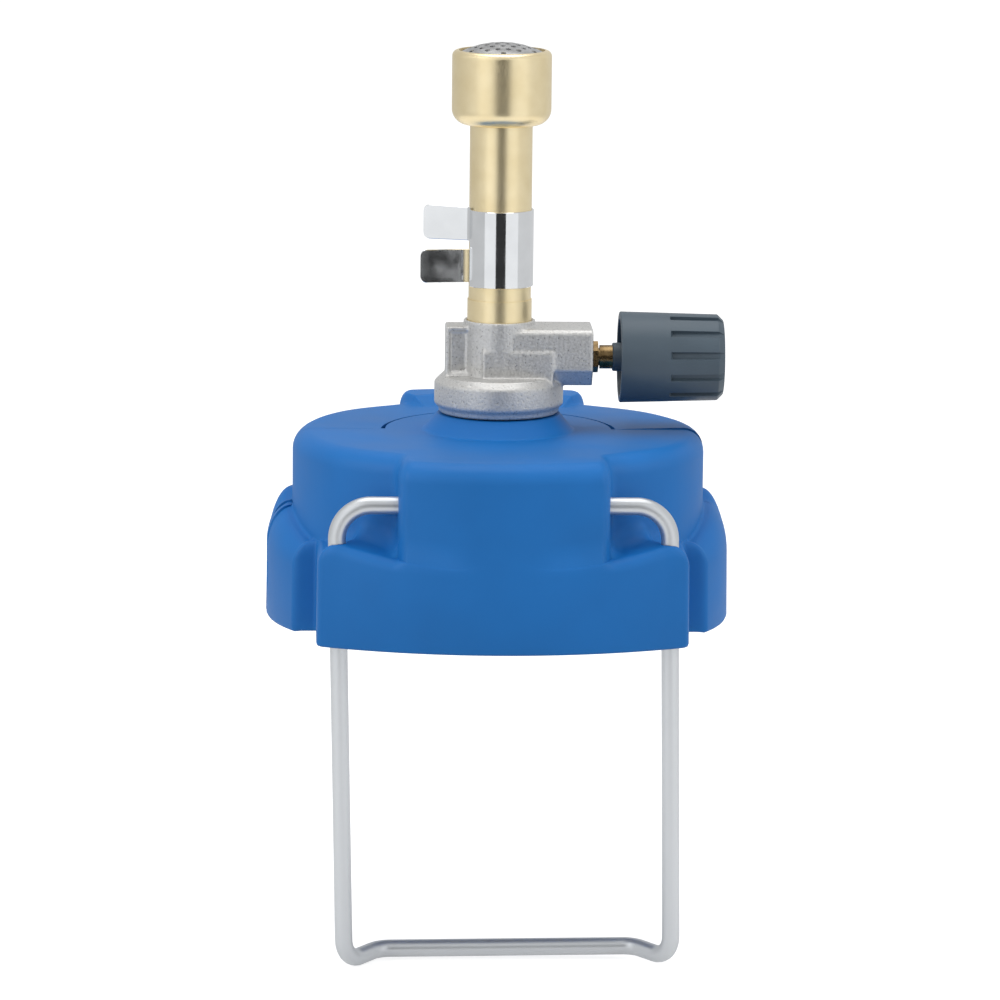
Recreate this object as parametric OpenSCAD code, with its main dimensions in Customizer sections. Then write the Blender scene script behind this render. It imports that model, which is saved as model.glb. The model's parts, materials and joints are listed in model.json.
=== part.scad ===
// Gas laboratory burner that screws down onto a pierceable cartridge.
// Origin: burner axis at the cap's lower rim. +Z up, the wire bail at -Y, the control knob at +X.

/* [Cap] */
// Height of the crown's flat top above the lower rim
cap_top_z = 47.5; // [46:0.5:50]
// Radius of the crown
crown_r = 52; // [51:0.5:53]
// Radius of the flatter stretch of the crown beside each block
crown_flat_r = 60; // [59:0.5:62]
// How far the centre of that flatter stretch lies from the axis
crown_flat_offset = 12; // [11:0.5:13]
// Rounding of the crown's upper edge
crown_edge_r = 5; // [4:0.5:5.5]
// Outer radius of the side lobes at the lower rim
lobe_r = 59; // [58:0.5:60]
// Taper of the side lobes' wall
lobe_taper = 0.6; // [0.2:0.1:1]
// Height of the side lobes' shoulder at the middle
lobe_top_z = 29; // [27:0.5:31]
// Rounding of the shoulder
lobe_edge_r = 8; // [7:0.5:9]
// Half of the side lobes' breadth from front to rear
lobe_half_y = 25.5; // [24:0.5:27]
// Fall of the shoulder from the middle to the lobe's end
lobe_fall = 5.4; // [4.4:0.2:6]
// Rounding of the lobe's end corners
lobe_end_r = 2.4; // [1.5:0.1:3]
// Wall of the moulded shells
shell_wall = 2.5; // [2:0.1:2.8]
// Thickness of the crown's top
crown_top_wall = 3; // [2.4:0.2:4]
// Gap at the parting line between the two shells
parting_gap = 0.3; // [0.2:0.1:0.5]
// Radius of the front shell's central disc inside the arc slot
disc_r = 28.6; // [27.5:0.2:30]
// Width of the arc slot
arc_slot = 0.8; // [0.5:0.1:1.2]

/* [Front and rear blocks] */
// Half width of the block
block_half_w = 26; // [25:0.5:27]
// Distance of the block's face from the axis
block_face_y = 56; // [55:0.5:56.5]
// Radius of the block's gently bowed face
block_bow_r = 90; // [80:5:110]
// Rounding of the block's upright corners
block_corner_r = 3.5; // [2.5:0.5:4.5]
// Rounding of the block's upper edges
block_edge_r = 3.5; // [2.5:0.5:4]
// Half width of the panel below the block
panel_half_w = 45.5; // [45:0.5:47]
// Distance of the panel's middle from the axis
panel_face_y = 57.5; // [57:0.5:58.5]
// Radius of the panel's bowed face
panel_bow_r = 102; // [98:1:110]
// Height of the panel's top at its ends
panel_end_z = 27; // [25:0.5:28]
// How much lower the panel's top lies at the middle
panel_dip = 6; // [5:0.5:7]
// Rounding of the panel's upper edge
panel_edge_r = 2.5; // [1.5:0.5:3]
// Wall at the panel's ends, beside the bail's legs
panel_end_wall = 2; // [1.6:0.1:2.1]
// Radius of the fillet where the block's sides flare into the panel
flare_r = 6; // [4:0.5:8]

/* [Cartridge socket] */
// Diameter of the gas cartridge
cartridge_d = 90; // [89:0.5:90.5]
// Radial room around the cartridge
cartridge_room = 1; // [0.6:0.1:1.2]
// Depth of the cap's hollow below the crown's inside
socket_depth = 20; // [18:0.5:21]
// Depth of the round socket, up to the ledge that the cartridge's shoulder meets
seat_depth = 9.4; // [8:0.1:9.6]
// Width of that ledge
seat_ledge = 1.5; // [1:0.1:2]
// Wall of the sleeve around the socket
sleeve_wall = 2.8; // [2.4:0.1:3.2]
// Chamfer at the socket's mouth
mouth_chamfer = 0.8; // [0.4:0.2:1]

/* [Rear shell hinge] */
// Outer radius of the hinge barrel
barrel_r = 4.4; // [4:0.1:4.6]
// How far the barrel's round passes the lobe's skin, where it is trimmed flush
barrel_out = 0.4; // [0.3:0.05:0.5]
// Radius of the hinge pin
hinge_pin_r = 1.5; // [1.2:0.1:1.8]
// Running clearance of the hinge pin
hinge_play = 0.06; // [0.03:0.01:0.09]
// Lower edge of the front shell's knuckle
knuckle_z = 7; // [6:0.5:8]
// Height of the front shell's knuckle
knuckle_h = 7; // [6:0.5:8]
// Clearance above, below and around a knuckle
knuckle_gap = 0.3; // [0.2:0.1:0.4]
// Length of the pin above and below the knuckle
pin_reach = 4.5; // [3:0.5:5]
// Relief of the front shell round the barrel
hinge_relief = 0.6; // [0.6:0.05:0.9]
// Length of the latch tongue at the shell's free end
tongue_len = 7; // [5:0.5:8]
// Thickness of the latch tongue
tongue_t = 1.8; // [1.4:0.1:2.2]
// Height of the latch tongue
tongue_h = 7; // [5:0.5:9]

/* [Hub] */
// Radius of the cone's foot on the crown
cone_foot_r = 19; // [18:0.5:20]
// Radius of the cone's top
cone_top_r = 15.5; // [14.5:0.5:16]
// Height of the cone above the crown
cone_h = 4.3; // [3.5:0.1:4.8]
// Radius of the hub under the crown
hub_r = 15; // [14.5:0.5:16.5]
// Lower end of the hub
hub_z = 29; // [27.5:0.5:31]
// Thickness of the hub's ribs
rib_t = 2; // [1.6:0.1:2.4]
// Number of ribs on the front half
rib_count = 5; // [3:2:7]
// Depth of the ribs below the crown's top wall
rib_depth = 9; // [6:0.5:12]
// Outer radius of the threaded bush
bush_r = 11; // [10.5:0.1:11.5]
// Radius of the bush's flange
bush_flange_r = 13.5; // [13:0.1:14]
// Thickness of the bush's flange
bush_flange_t = 2; // [1.6:0.1:2.4]
// Thickness of the ring that keeps the bush in the hub
bush_ring_t = 1.2; // [1:0.1:1.5]
// Radial width of that ring outside the bush
bush_ring_w = 2.2; // [1.8:0.1:2.4]
// Depth of the groove that holds the ring
bush_groove = 0.8; // [0.6:0.1:1]

/* [Bail] */
// Diameter of the bail's wire
wire_d = 4.2; // [4:0.1:4.3]
// Running clearance of the wire in its bores
wire_play = 0.06; // [0.03:0.01:0.09]
// Height of the bail's pivot
pivot_z = 35.8; // [35:0.2:37]
// Distance of the bail's pivot in front of the axis
pivot_y = 44.6; // [44.5:0.1:45]
// Half of the distance between the bail's legs
leg_x = 40.8; // [40.6:0.1:41]
// Lean of the legs at rest
leg_lean = 4; // [3:0.5:4.5]
// Length of the bail below its pivot
leg_len = 117; // [110:1:125]
// Centre-line radius of the upper bends
top_bend_r = 8.5; // [7.5:0.5:9.5]
// Centre-line radius of the lower bends
foot_bend_r = 6; // [5:0.5:6.5]
// How far the crossbar lies behind the legs
foot_back = 10.5; // [9.5:0.5:13]
// Angle of the feet away from the crossbar
foot_angle = 50; // [45:1:55]
// How far the wire's ends reach into the block
wire_in_block = 12; // [10:0.5:14]
// Floor of the bail's blind bearing tubes
boss_floor = 2; // [1.5:0.1:2.5]
// Swing of the bail in its slots
bail_swing = 6; // [4:0.5:6]
// Radius of the bail's bearing tubes
bail_boss_r = 4.3; // [4:0.1:4.6]
// Room round the wire in the deck's slots
slot_room = 0.5; // [0.4:0.1:0.6]

/* [Valve body] */
// Radius of the flange
flange_r = 16.3; // [15.5:0.1:17]
// Radius of the machined lip under the flange
lip_r = 15.2; // [14.6:0.1:15.4]
// Height of the machined lip
lip_h = 1.2; // [1:0.1:1.6]
// Height of the flange, with its lip and upper chamfer
flange_h = 9.5; // [9:0.1:10]
// Height of the flange's upper chamfer
flange_chamfer = 1.8; // [1.2:0.1:2.2]
// Gap between the flange and the cone with the head screwed down
head_gap = 0.3; // [0.2:0.1:0.5]
// Radius of the threaded stem, over its thread
stem_r = 8; // [7.6:0.1:8.4]
// Running clearance of the thread
thread_play = 0.06; // [0.03:0.01:0.09]
// Length of the stem below the flange
stem_len = 34; // [32:0.5:35]
// Height of the tube socket above the flange
socket_top_h = 14; // [13.6:0.1:14.4]
// Wall of the tube socket
socket_wall = 0.9; // [0.8:0.1:1.3]
// Height of the arm's flat top above the flange
arm_top_h = 12.4; // [12:0.1:12.8]
// Depth of the arm from top to bottom
arm_h = 14.6; // [14:0.1:15]
// Half width of the arm
arm_half_w = 8.5; // [8:0.1:9]
// Chamfer along the arm's lower edges
arm_chamfer = 4.2; // [3:0.1:4.5]
// Chamfer of the arm's upper edges
arm_edge = 1; // [0.7:0.1:1.3]
// Reach of the arm from the axis
arm_x = 23.4; // [22.5:0.1:24]
// Reach of the boss opposite the arm
boss_x = 13.6; // [13:0.1:14.2]
// Half width of that boss
boss_half_w = 4.6; // [4.2:0.1:5]
// Height of the boss above the flange
boss_h = 12.6; // [12:0.1:13]
// Width of the raised frame round the boss's two recessed sides
boss_rim = 0.9; // [0.7:0.1:1.2]
// Depth of the recesses inside that frame
boss_recess = 0.8; // [0.5:0.1:1.2]
// Distance of the front pad's face from the axis
pad_y = 8.9; // [8.7:0.1:9.4]
// Reach of the front pad to the left of the axis
pad_left = 4.4; // [4:0.1:5]
// Reach of the front pad to the right of the axis
pad_right = 13.4; // [12.5:0.1:14]
// Height of the front pad above the flange
pad_h = 7; // [6.4:0.1:7.4]
// Height of the spindle's axis above the flange
spindle_h = 4.5; // [4.3:0.1:4.7]
// Depth of the socket that holds the burner tube
tube_seat = 4; // [3.6:0.1:4.4]

/* [Cartridge seal] */
// Outer radius of the seal
seal_r = 7.4; // [6.8:0.1:7.5]
// Thickness of the seal
seal_t = 3.5; // [3:0.1:4]
// Thickness of the washer above the seal
seal_washer_t = 0.8; // [0.6:0.1:1]
// Clearance of both round the needle holder
seal_room = 0.3; // [0.2:0.05:0.35]
// Radius of the needle holder
holder_r = 3.2; // [3:0.1:3.5]
// Length of the needle holder below the stem
holder_out = 3; // [2.5:0.1:3.2]
// Length of the needle holder inside the stem
holder_in = 5; // [4:0.1:6]
// Radius of the piercing needle
needle_r = 1.2; // [1:0.05:1.4]
// Length of the needle below its holder
needle_out = 5; // [4:0.1:6]
// Radius of the gas passages
passage_r = 1; // [0.8:0.1:1.2]
// Thickness of the gas filter
filter_t = 2.5; // [2:0.1:3]

/* [Valve spindle and knob] */
// Radius of the spindle's outer collar
spindle_r = 3; // [2.8:0.1:3.1]
// Radius of the spindle's stem inside the gland
spindle_stem_r = 2.2; // [2:0.1:2.3]
// Running clearance of the spindle
spindle_play = 0.06; // [0.03:0.01:0.09]
// Reach of the gland nut out of the arm
gland_out = 1.6; // [1.4:0.1:1.8]
// Radius over the gland nut's corners
gland_r = 4; // [3.8:0.1:4.2]
// Depth of the gland nut inside the arm
gland_in = 4; // [3.5:0.1:4.5]
// Thickness of the gland packing
packing_t = 1.2; // [1:0.1:1.4]
// Wire radius of the spindle's O-ring
oring_wire_r = 0.55; // [0.5:0.05:0.6]
// Reach of the spindle's tip from the burner axis
spindle_tip_x = 3; // [2.8:0.1:3.4]
// Travel of the spindle from closed to fully open
spindle_travel = 2.5; // [2:0.1:2.8]
// Gap between the gland nut and the spindle's outer collar
collar_gap = 0.4; // [0.3:0.05:0.5]
// Inner end of the knob
knob_x = 30.4; // [30:0.1:31]
// Length of the knob
knob_len = 26.2; // [25:0.2:28]
// Radius of the knob at its inner end
knob_r = 11.5; // [11.2:0.1:11.8]
// Taper of the knob towards its outer end
knob_taper = 0.6; // [0.3:0.1:0.8]
// Rounding of the knob's outer edge
knob_edge_r = 1.4; // [1:0.1:2]
// Wall of the knob's skirt
knob_wall = 1.8; // [1.5:0.1:2.2]
// Depth of the hollow at the knob's inner end
knob_hollow = 12; // [9:0.5:13]
// Radius of the knob's inner hub
knob_hub_r = 4; // [3.8:0.1:4.5]
// How far that hub stands out of the knob
knob_hub_out = 1.8; // [1.2:0.1:2.2]
// Number of grip grooves
groove_count = 12; // [8:1:14]
// Length of the grooves
groove_len = 13.4; // [11:0.2:15]
// Radius of a groove's round section
groove_r = 0.7; // [0.5:0.05:0.9]

/* [Burner tube and air collar] */
// Radius of the tube above its step
tube_r = 7.87; // [7.6:0.01:8]
// How much thicker the tube is below the step
tube_step = 0.26; // [0.2:0.02:0.3]
// Inner radius of the tube
tube_bore_r = 6.6; // [6.2:0.1:6.8]
// Height of the step above the tube socket's rim
step_h = 5.3; // [4.8:0.1:5.8]
// Length of the tube between the socket's rim and the head
tube_len = 49.3; // [47:0.5:52]
// Clearance of the tube in its seats
tube_fit = 0.03; // [0.02:0.01:0.05]
// Radius of the two air holes
air_hole_r = 3.2; // [2.8:0.1:3.6]
// Height of the air holes above the step
air_hole_h = 12.5; // [12:0.1:13]
// Thickness of the collar's sheet
collar_t = 0.5; // [0.4:0.05:0.6]
// Running clearance of the collar on the tube
collar_play = 0.05; // [0.03:0.01:0.08]
// Height of the collar
collar_h = 19.2; // [18:0.2:20]
// Height of the collar above the step
collar_lift = 3.2; // [2.8:0.1:3.6]
// Direction of the collar's front end, turned from +X
collar_front_deg = 208; // [204:1:212]
// Opening between the collar's ends
collar_open_deg = 52; // [46:1:58]
// Reach of the collar's tabs from the burner axis
tab_reach = 20.3; // [19:0.1:21]
// Height of a tab
tab_h = 8.2; // [7.4:0.1:8.6]
// Rounding of a tab's corners
tab_corner_r = 1.5; // [1:0.1:2]
// Gap between the tabs' levels
tab_level_gap = 2.8; // [2.2:0.1:3]

/* [Burner head] */
// Radius of the head
head_r = 12.5; // [12.2:0.1:13]
// Height of the head
head_h = 18.7; // [17.5:0.1:20]
// Wall of the head
head_wall = 1.7; // [1.4:0.1:1.9]
// Thickness of the head's floor
head_floor = 2.6; // [2.2:0.1:3]
// Rounding of the head's lower edge
head_foot_r = 4; // [3.5:0.1:4.4]
// Rounding of the head's rim
head_rim_r = 1.5; // [1.2:0.1:1.6]
// Ledge that the flame grid rests on
grid_ledge = 0.9; // [0.7:0.1:1.1]
// Depth of that ledge below the rim
grid_depth = 1.4; // [1.2:0.1:1.8]
// Rise of the grid's dome
grid_rise = 2.7; // [2.2:0.1:3.2]
// Thickness of the grid
grid_t = 0.6; // [0.5:0.05:0.8]
// Radius of the grid's holes
grid_hole_r = 0.65; // [0.5:0.05:0.7]
// Distance between the grid's holes
grid_pitch = 2.6; // [2.4:0.1:3]
// Flat edge of the grid
grid_edge = 1; // [0.9:0.05:1.2]
// Clearance of the grid in the head
grid_fit = 0.03; // [0.02:0.01:0.05]

/* [Injector] */
// Radius of the injector's barrel
injector_r = 3; // [2.6:0.1:3.2]
// Radius over the corners of the injector's hexagon
injector_hex_r = 4.6; // [4.2:0.1:4.8]
// Height of the hexagon
injector_hex_h = 4; // [3.5:0.1:4.5]
// Height of the injector above its seat
injector_h = 15; // [14:0.1:16]
// Depth of the injector's thread below its seat
injector_in = 2.4; // [2:0.1:2.6]
// Radius of the injector's jet
jet_r = 0.3; // [0.2:0.05:0.4]
// Thickness of the washer under the injector
injector_washer_t = 0.8; // [0.6:0.1:1]

/* [Hidden] */
$fn = 144;

shell_blue = [0.13, 0.38, 0.74];
cast_grey = [0.72, 0.72, 0.70];
brass_gold = [0.78, 0.66, 0.38];
steel_grey = [0.70, 0.72, 0.74];
knob_slate = [0.23, 0.29, 0.34];
rubber_black = [0.10, 0.10, 0.11];

far = 200; // longer than any part, for cuts that run right through
eps = 0.01; // overshoot of a cut past the face that it opens

// Cap
socket_r = cartridge_d / 2 + cartridge_room;
sleeve_r = socket_r + sleeve_wall;
cone_top_z = cap_top_z + cone_h;
panel_cy = panel_bow_r - panel_face_y; // centre of the front panel's bow lies behind the axis
block_cy = block_bow_r - block_face_y;
top_arc_r = (panel_half_w * panel_half_w + panel_dip * panel_dip) / (2 * panel_dip);
parting = parting_gap / 2;
block_back_y = 10; // the block's form starts here, well inside the crown
panel_back_y = 20; // and the panel's here, inside the sleeve
hinge_x = -(lobe_r - barrel_r + barrel_out);
tongue_x = (sleeve_r + lobe_r - lobe_taper - shell_wall) / 2;
knuckle_top_z = knuckle_z + knuckle_h;
rib_z = cap_top_z - crown_top_wall - rib_depth;

// Hub and bush
bush_ring_z = cone_top_z - bush_ring_t;
bush_z = hub_z - bush_flange_t;

// Bail
wire_r = wire_d / 2;
foot_bar = (foot_back - foot_bend_r * (1 - cos(foot_angle))) / sin(foot_angle) - foot_bend_r;
crossbar_x = leg_x - (foot_bend_r + foot_bar) * cos(foot_angle) - foot_bend_r * sin(foot_angle);
bend_thinning = 0.02; // the wire's bends are this much thinner in radius
wire_lap = 0.2; // lap of each straight bar into a bend

// Valve body, from the flange's underside
flange_z = cone_top_z + head_gap;
flange_top_z = flange_z + flange_h;
stem_z = flange_z - stem_len;
spindle_z = flange_top_z + spindle_h;
arm_top_z = flange_top_z + arm_top_h;
arm_z = arm_top_z - arm_h;
rim_z = flange_top_z + socket_top_h;
thick_tube_r = tube_r + tube_step;
tube_socket_r = thick_tube_r + tube_fit;
socket_out_r = tube_socket_r + socket_wall;
tube_z = rim_z - tube_seat;
needle_z = stem_z - holder_out - needle_out;
needle_len = needle_out + holder_out + holder_in;

// Spindle, along X
arm_bore_r = spindle_stem_r + 2 * (oring_wire_r + spindle_play);
gland_thread_r = arm_bore_r + 0.5;
gland_bottom_x = arm_x - gland_in;
packing_x = gland_bottom_x - packing_t;
oring_x = packing_x - spindle_travel - oring_wire_r - 1.2;
bore_x = oring_x - oring_wire_r - 1.4;
collar_x = arm_x + gland_out + collar_gap;
spindle_end_x = knob_x + knob_len - 8;
knob_end_r = knob_r - knob_taper;

// Tube, collar and head
step_z = rim_z + step_h;
head_z = rim_z + tube_len;
collar_z = step_z + collar_lift;
collar_in_r = tube_r + collar_play;
collar_out_r = collar_in_r + collar_t;
mouth_r = head_r - head_wall;
grid_r = mouth_r - grid_fit;
grid_z = head_z + head_h - grid_depth;
grid_ball_r = (grid_r * grid_r + grid_rise * grid_rise) / (2 * grid_rise);

// ---------- Shared shapes ----------

// Disc of radius r from z0 to z1 with a rounded upper edge
module rounded_disc(r, z0, z1, edge)
    rotate_extrude() {
        translate([0, z0]) square([r - edge, z1 - z0]);
        translate([0, z0]) square([r, z1 - z0 - edge]);
        translate([r - edge, z1 - edge]) intersection() {
            circle(edge);
            square(edge);
        }
    }

// Rectangle centred on X, from y0 to y1, with its two upper corners rounded
module arched_rect(half_w, y0, y1, r) {
    translate([-half_w, y0]) square([2 * half_w, y1 - y0 - r]);
    translate([-half_w + r, y0]) square([2 * half_w - 2 * r, y1 - y0]);
    for (side = [-1, 1]) translate([side * (half_w - r), y1 - r]) circle(r);
}

module ring(r_out, r_in, z0, h)
    translate([0, 0, z0]) difference() {
        cylinder(r = r_out, h = h);
        translate([0, 0, -eps]) cylinder(r = r_in, h = h + 2 * eps);
    }

module along_x(x) translate([x, 0, spindle_z]) rotate([0, 90, 0]) children();

// ---------- Cap form, set inwards by a wall ----------

module crown_form(inset, z0, top_wall) {
    edge = max(crown_edge_r - inset, 0.6);
    z1 = cap_top_z - top_wall;
    intersection() {
        rounded_disc(crown_r - inset, z0, z1, edge);
        translate([0, crown_flat_offset, 0]) rounded_disc(crown_flat_r - inset, z0 - 1, z1, edge);
        translate([0, -crown_flat_offset, 0]) rounded_disc(crown_flat_r - inset, z0 - 1, z1, edge);
    }
}

// Side view of a lobe: the shoulder falls towards both ends, which have rounded corners
module lobe_side(inset, z0) {
    end_y = lobe_half_y - inset;
    end_z = lobe_top_z - lobe_fall - inset;
    corner = max(lobe_end_r - inset, 0.5);
    polygon([[-end_y, z0], [end_y, z0], [end_y, end_z - corner], [end_y - corner, end_z],
        [0, lobe_top_z - inset], [corner - end_y, end_z], [-end_y, end_z - corner]]);
    for (side = [-1, 1]) translate([side * (end_y - corner), end_z - corner]) circle(corner);
}

module lobe_form(inset, z0) {
    edge = lobe_edge_r - inset;
    top_r = lobe_r - lobe_taper - inset;
    z1 = lobe_top_z - inset;
    intersection() {
        rotate_extrude() {
            polygon([[0, z0], [lobe_r - inset, z0], [top_r, z1 - edge], [0, z1 - edge]]);
            translate([0, z1 - edge]) square([top_r - edge, edge]);
            translate([top_r - edge, z1 - edge]) intersection() {
                circle(edge);
                square(edge);
            }
        }
        rotate([90, 0, 90]) linear_extrude(2 * far, center = true) lobe_side(inset, z0);
    }
}

// Block at the front: plan, front view and side view are each rounded
module block_form(inset, z0, top_wall) {
    z1 = cap_top_z - top_wall;
    edge = max(block_edge_r - inset, 0.5);
    half_w = block_half_w - inset;
    corner = max(block_corner_r - inset, 0.5);
    face_y = block_face_y - inset;
    intersection() {
        translate([0, 0, z0]) linear_extrude(z1 - z0)
            rotate(180) arched_rect(half_w, block_back_y, face_y, corner);
        translate([0, block_cy, 0]) rounded_disc(block_bow_r - inset, z0, z1, edge);
        rotate([90, 0, 0]) linear_extrude(far) arched_rect(half_w, z0, z1, edge);
    }
}

// Front view of a panel, with its top dipping to the middle
module panel_front(half_w, z0, z1) {
    difference() {
        arched_rect(half_w, z0, z1, 3);
        translate([0, z1 - panel_dip + top_arc_r]) circle(top_arc_r, $fn = 200);
    }
}

module panel_form(inset, end_wall, z0)
    intersection() {
        translate([0, panel_cy, 0])
            rounded_disc(panel_bow_r - inset, z0 - 1, panel_end_z + panel_dip, panel_edge_r);
        rotate([90, 0, 0]) linear_extrude(far)
            panel_front(panel_half_w - end_wall, z0, panel_end_z - inset);
        translate([-far / 2, -far, z0 - 1]) cube([far, far - panel_back_y, far]);
    }

// Concave flare on each side of the block, above the panel's deck
module flare_form() {
    top_z = panel_end_z - panel_dip;
    for (side = [-1, 1])
        translate([side * (block_half_w - eps), 0, top_z]) rotate([90, 0, 0])
            linear_extrude(block_face_y - 3) mirror([side < 0 ? 1 : 0, 0, 0]) difference() {
                square([flare_r, flare_r + 2]);
                translate([flare_r, flare_r + 2]) circle(flare_r);
            }
}

module cap_form() {
    crown_form(0, socket_depth - shell_wall, 0);
    cylinder(r = sleeve_r, h = socket_depth);
    lobe_form(0, 0);
    for (turn = [0, 180]) rotate(turn) {
        block_form(0, 0, 0);
        panel_form(0, 0, 0);
        flare_form();
    }
    translate([0, 0, cap_top_z - eps])
        cylinder(r1 = cone_foot_r, r2 = cone_top_r, h = cone_h + eps);
}

// The cartridge's socket with the ledge at its end
module socket_bore() {
    translate([0, 0, -1]) cylinder(r = socket_r, h = seat_depth + 1);
    translate([0, 0, -1]) cylinder(r = socket_r - seat_ledge, h = socket_depth + 1 + eps);
}

// Everything that the cap is open to from below
module cap_hollow() {
    socket_bore();
    translate([0, 0, -eps])
        cylinder(r1 = socket_r + mouth_chamfer, r2 = socket_r, h = mouth_chamfer);
    crown_form(shell_wall, socket_depth, crown_top_wall);
    difference() {
        lobe_form(shell_wall, -1);
        cylinder(r = sleeve_r, h = socket_depth);
        crown_form(0, socket_depth - shell_wall, 0);
    }
    for (turn = [0, 180]) rotate(turn) difference() {
        union() {
            panel_form(shell_wall, panel_end_wall, -1);
            block_form(shell_wall, -1, crown_top_wall);
        }
        cylinder(r = sleeve_r, h = socket_depth);
        translate([0, 0, socket_depth - shell_wall]) cylinder(r = crown_r - 1, h = shell_wall);
    }
}

module hub_and_ribs() {
    translate([0, 0, hub_z]) cylinder(r = hub_r, h = cap_top_z - hub_z);
    intersection() {
        translate([0, 0, rib_z])
            for (i = [0 : rib_count - 1])
                rotate(180 + (i + 0.5) * 180 / rib_count)
                    translate([hub_r - 1, -rib_t / 2, 0]) cube([crown_r, rib_t, rib_depth + 1]);
        crown_form(shell_wall / 2, hub_z, crown_top_wall / 2);
    }
}

// ---------- Front and rear shells ----------

module rear_half(gap) translate([-far / 2, gap, -far / 2]) cube([far, far, far]);

module hinge_column(r, z0, z1) translate([hinge_x, 0, z0]) cylinder(r = r, h = z1 - z0);

module cap_wall()
    difference() {
        cap_form();
        cap_hollow();
    }

// Bearing tubes for the bail, hung from the crown's top inside the block
module bail_bosses() {
    len = wire_in_block + boss_floor;
    for (side = [-1, 1])
        translate([side * (block_half_w - 1) - (side > 0 ? len - 1 : 0), -pivot_y, pivot_z]) {
            rotate([0, 90, 0]) cylinder(r = bail_boss_r, h = len - 1);
            translate([0, -rib_t / 2, 0]) cube([len - 1, rib_t, cap_top_z - pivot_z - 1]);
        }
}

module bail_cuts() {
    swing_y = (pivot_z - panel_end_z + panel_dip) * (tan(leg_lean + bail_swing) - tan(leg_lean));
    rest_y = -pivot_y + (pivot_z - panel_end_z) * tan(leg_lean);
    for (side = [-1, 1]) {
        translate([side * (block_half_w - wire_in_block - knuckle_gap), -pivot_y, pivot_z])
            rotate([0, side * 90, 0]) cylinder(r = wire_r + wire_play, h = wire_in_block + 2);
        translate([side * leg_x, rest_y, panel_edge_r + 8]) {
            cylinder(r = wire_r + slot_room, h = panel_end_z);
            translate([0, swing_y + slot_room, 0]) cylinder(r = wire_r + slot_room, h = panel_end_z);
            translate([-wire_r - slot_room, 0, 0])
                cube([2 * (wire_r + slot_room), swing_y + slot_room, panel_end_z]);
        }
    }
}

module bush_seat() {
    translate([0, 0, hub_z - 1]) cylinder(r = bush_r + tube_fit, h = far);
    translate([0, 0, bush_ring_z]) cylinder(r = bush_r + bush_ring_w + tube_fit, h = far);
}

module front_knuckle()
    difference() {
        intersection() {
            union() {
                hinge_column(barrel_r, knuckle_z, knuckle_top_z);
                translate([hinge_x - barrel_r, -barrel_r - 5, knuckle_z])
                    cube([2 * barrel_r - 1, barrel_r + 5 - parting, knuckle_h]);
            }
            lobe_form(0, 0);
        }
        hinge_column(hinge_pin_r + tube_fit, -1, far);
    }

module front_shell() color(shell_blue) {
    difference() {
        union() {
            cap_wall();
            hub_and_ribs();
            bail_bosses();
        }
        difference() {
            rear_half(-parting);
            cylinder(r = disc_r, h = far);
        }
        hinge_column(barrel_r + hinge_relief, -1, lobe_top_z + parting_gap);
        bush_seat();
        bail_cuts();
    }
    front_knuckle();
}

// Walls that close the rear shell's ends, beside the hinge and the latch tongue
module rear_end_webs()
    intersection() {
        lobe_form(0, 0);
        for (side = [-1, 1])
            translate([side * (sleeve_r + lobe_r) / 2 - (lobe_r - sleeve_r) / 2 - 1, parting, 1])
                cube([lobe_r - sleeve_r + 2, shell_wall, socket_depth]);
    }

module latch_tongue()
    translate([tongue_x - tongue_t / 2, -tongue_len, knuckle_z])
        cube([tongue_t, tongue_len + shell_wall, tongue_h]);

module rear_shell() color(shell_blue)
    difference() {
        union() {
            difference() {
                union() {
                    cap_wall();
                    rear_end_webs();
                }
                rotate(180) rear_half(-parting);
            }
            intersection() {
                hinge_column(barrel_r, 0, lobe_top_z);
                lobe_form(0, 0);
            }
            latch_tongue();
        }
        socket_bore();
        translate([0, 0, -eps]) cylinder(r = disc_r + arc_slot, h = far);
        hinge_column(barrel_r + hinge_relief, knuckle_z - knuckle_gap, knuckle_top_z + knuckle_gap);
        hinge_column(hinge_pin_r + hinge_play, knuckle_z - pin_reach - knuckle_gap,
            knuckle_top_z + pin_reach + knuckle_gap);
    }

module hinge_pin() color(steel_grey)
    hinge_column(hinge_pin_r, knuckle_z - pin_reach, knuckle_top_z + pin_reach);

// ---------- Bush ----------

module threaded_bush() color(brass_gold)
    difference() {
        union() {
            translate([0, 0, bush_z + eps]) cylinder(r = bush_r, h = cone_top_z - bush_z - eps);
            translate([0, 0, bush_z]) cylinder(r = bush_flange_r, h = bush_flange_t, $fn = 8);
        }
        cylinder(r = stem_r + thread_play, h = far);
        ring(bush_r + 1, bush_r - bush_groove, bush_ring_z - tube_fit, bush_ring_t + 1);
    }

module bush_ring() color(steel_grey)
    difference() {
        ring(bush_r + bush_ring_w, bush_r - bush_groove + tube_fit, bush_ring_z, bush_ring_t);
        translate([0, -1.5, 0]) cube([far, 3, far]);
    }

// ---------- Bail ----------

// The bends are drawn slightly thinner, and each bar laps a little way into them
module wire_bend(bend_r, angle)
    rotate_extrude(angle = angle) translate([bend_r, 0]) circle(wire_r - bend_thinning);

module wire_bar(len) translate([0, 0, -wire_lap]) cylinder(r = wire_r, h = len + 2 * wire_lap);

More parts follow.
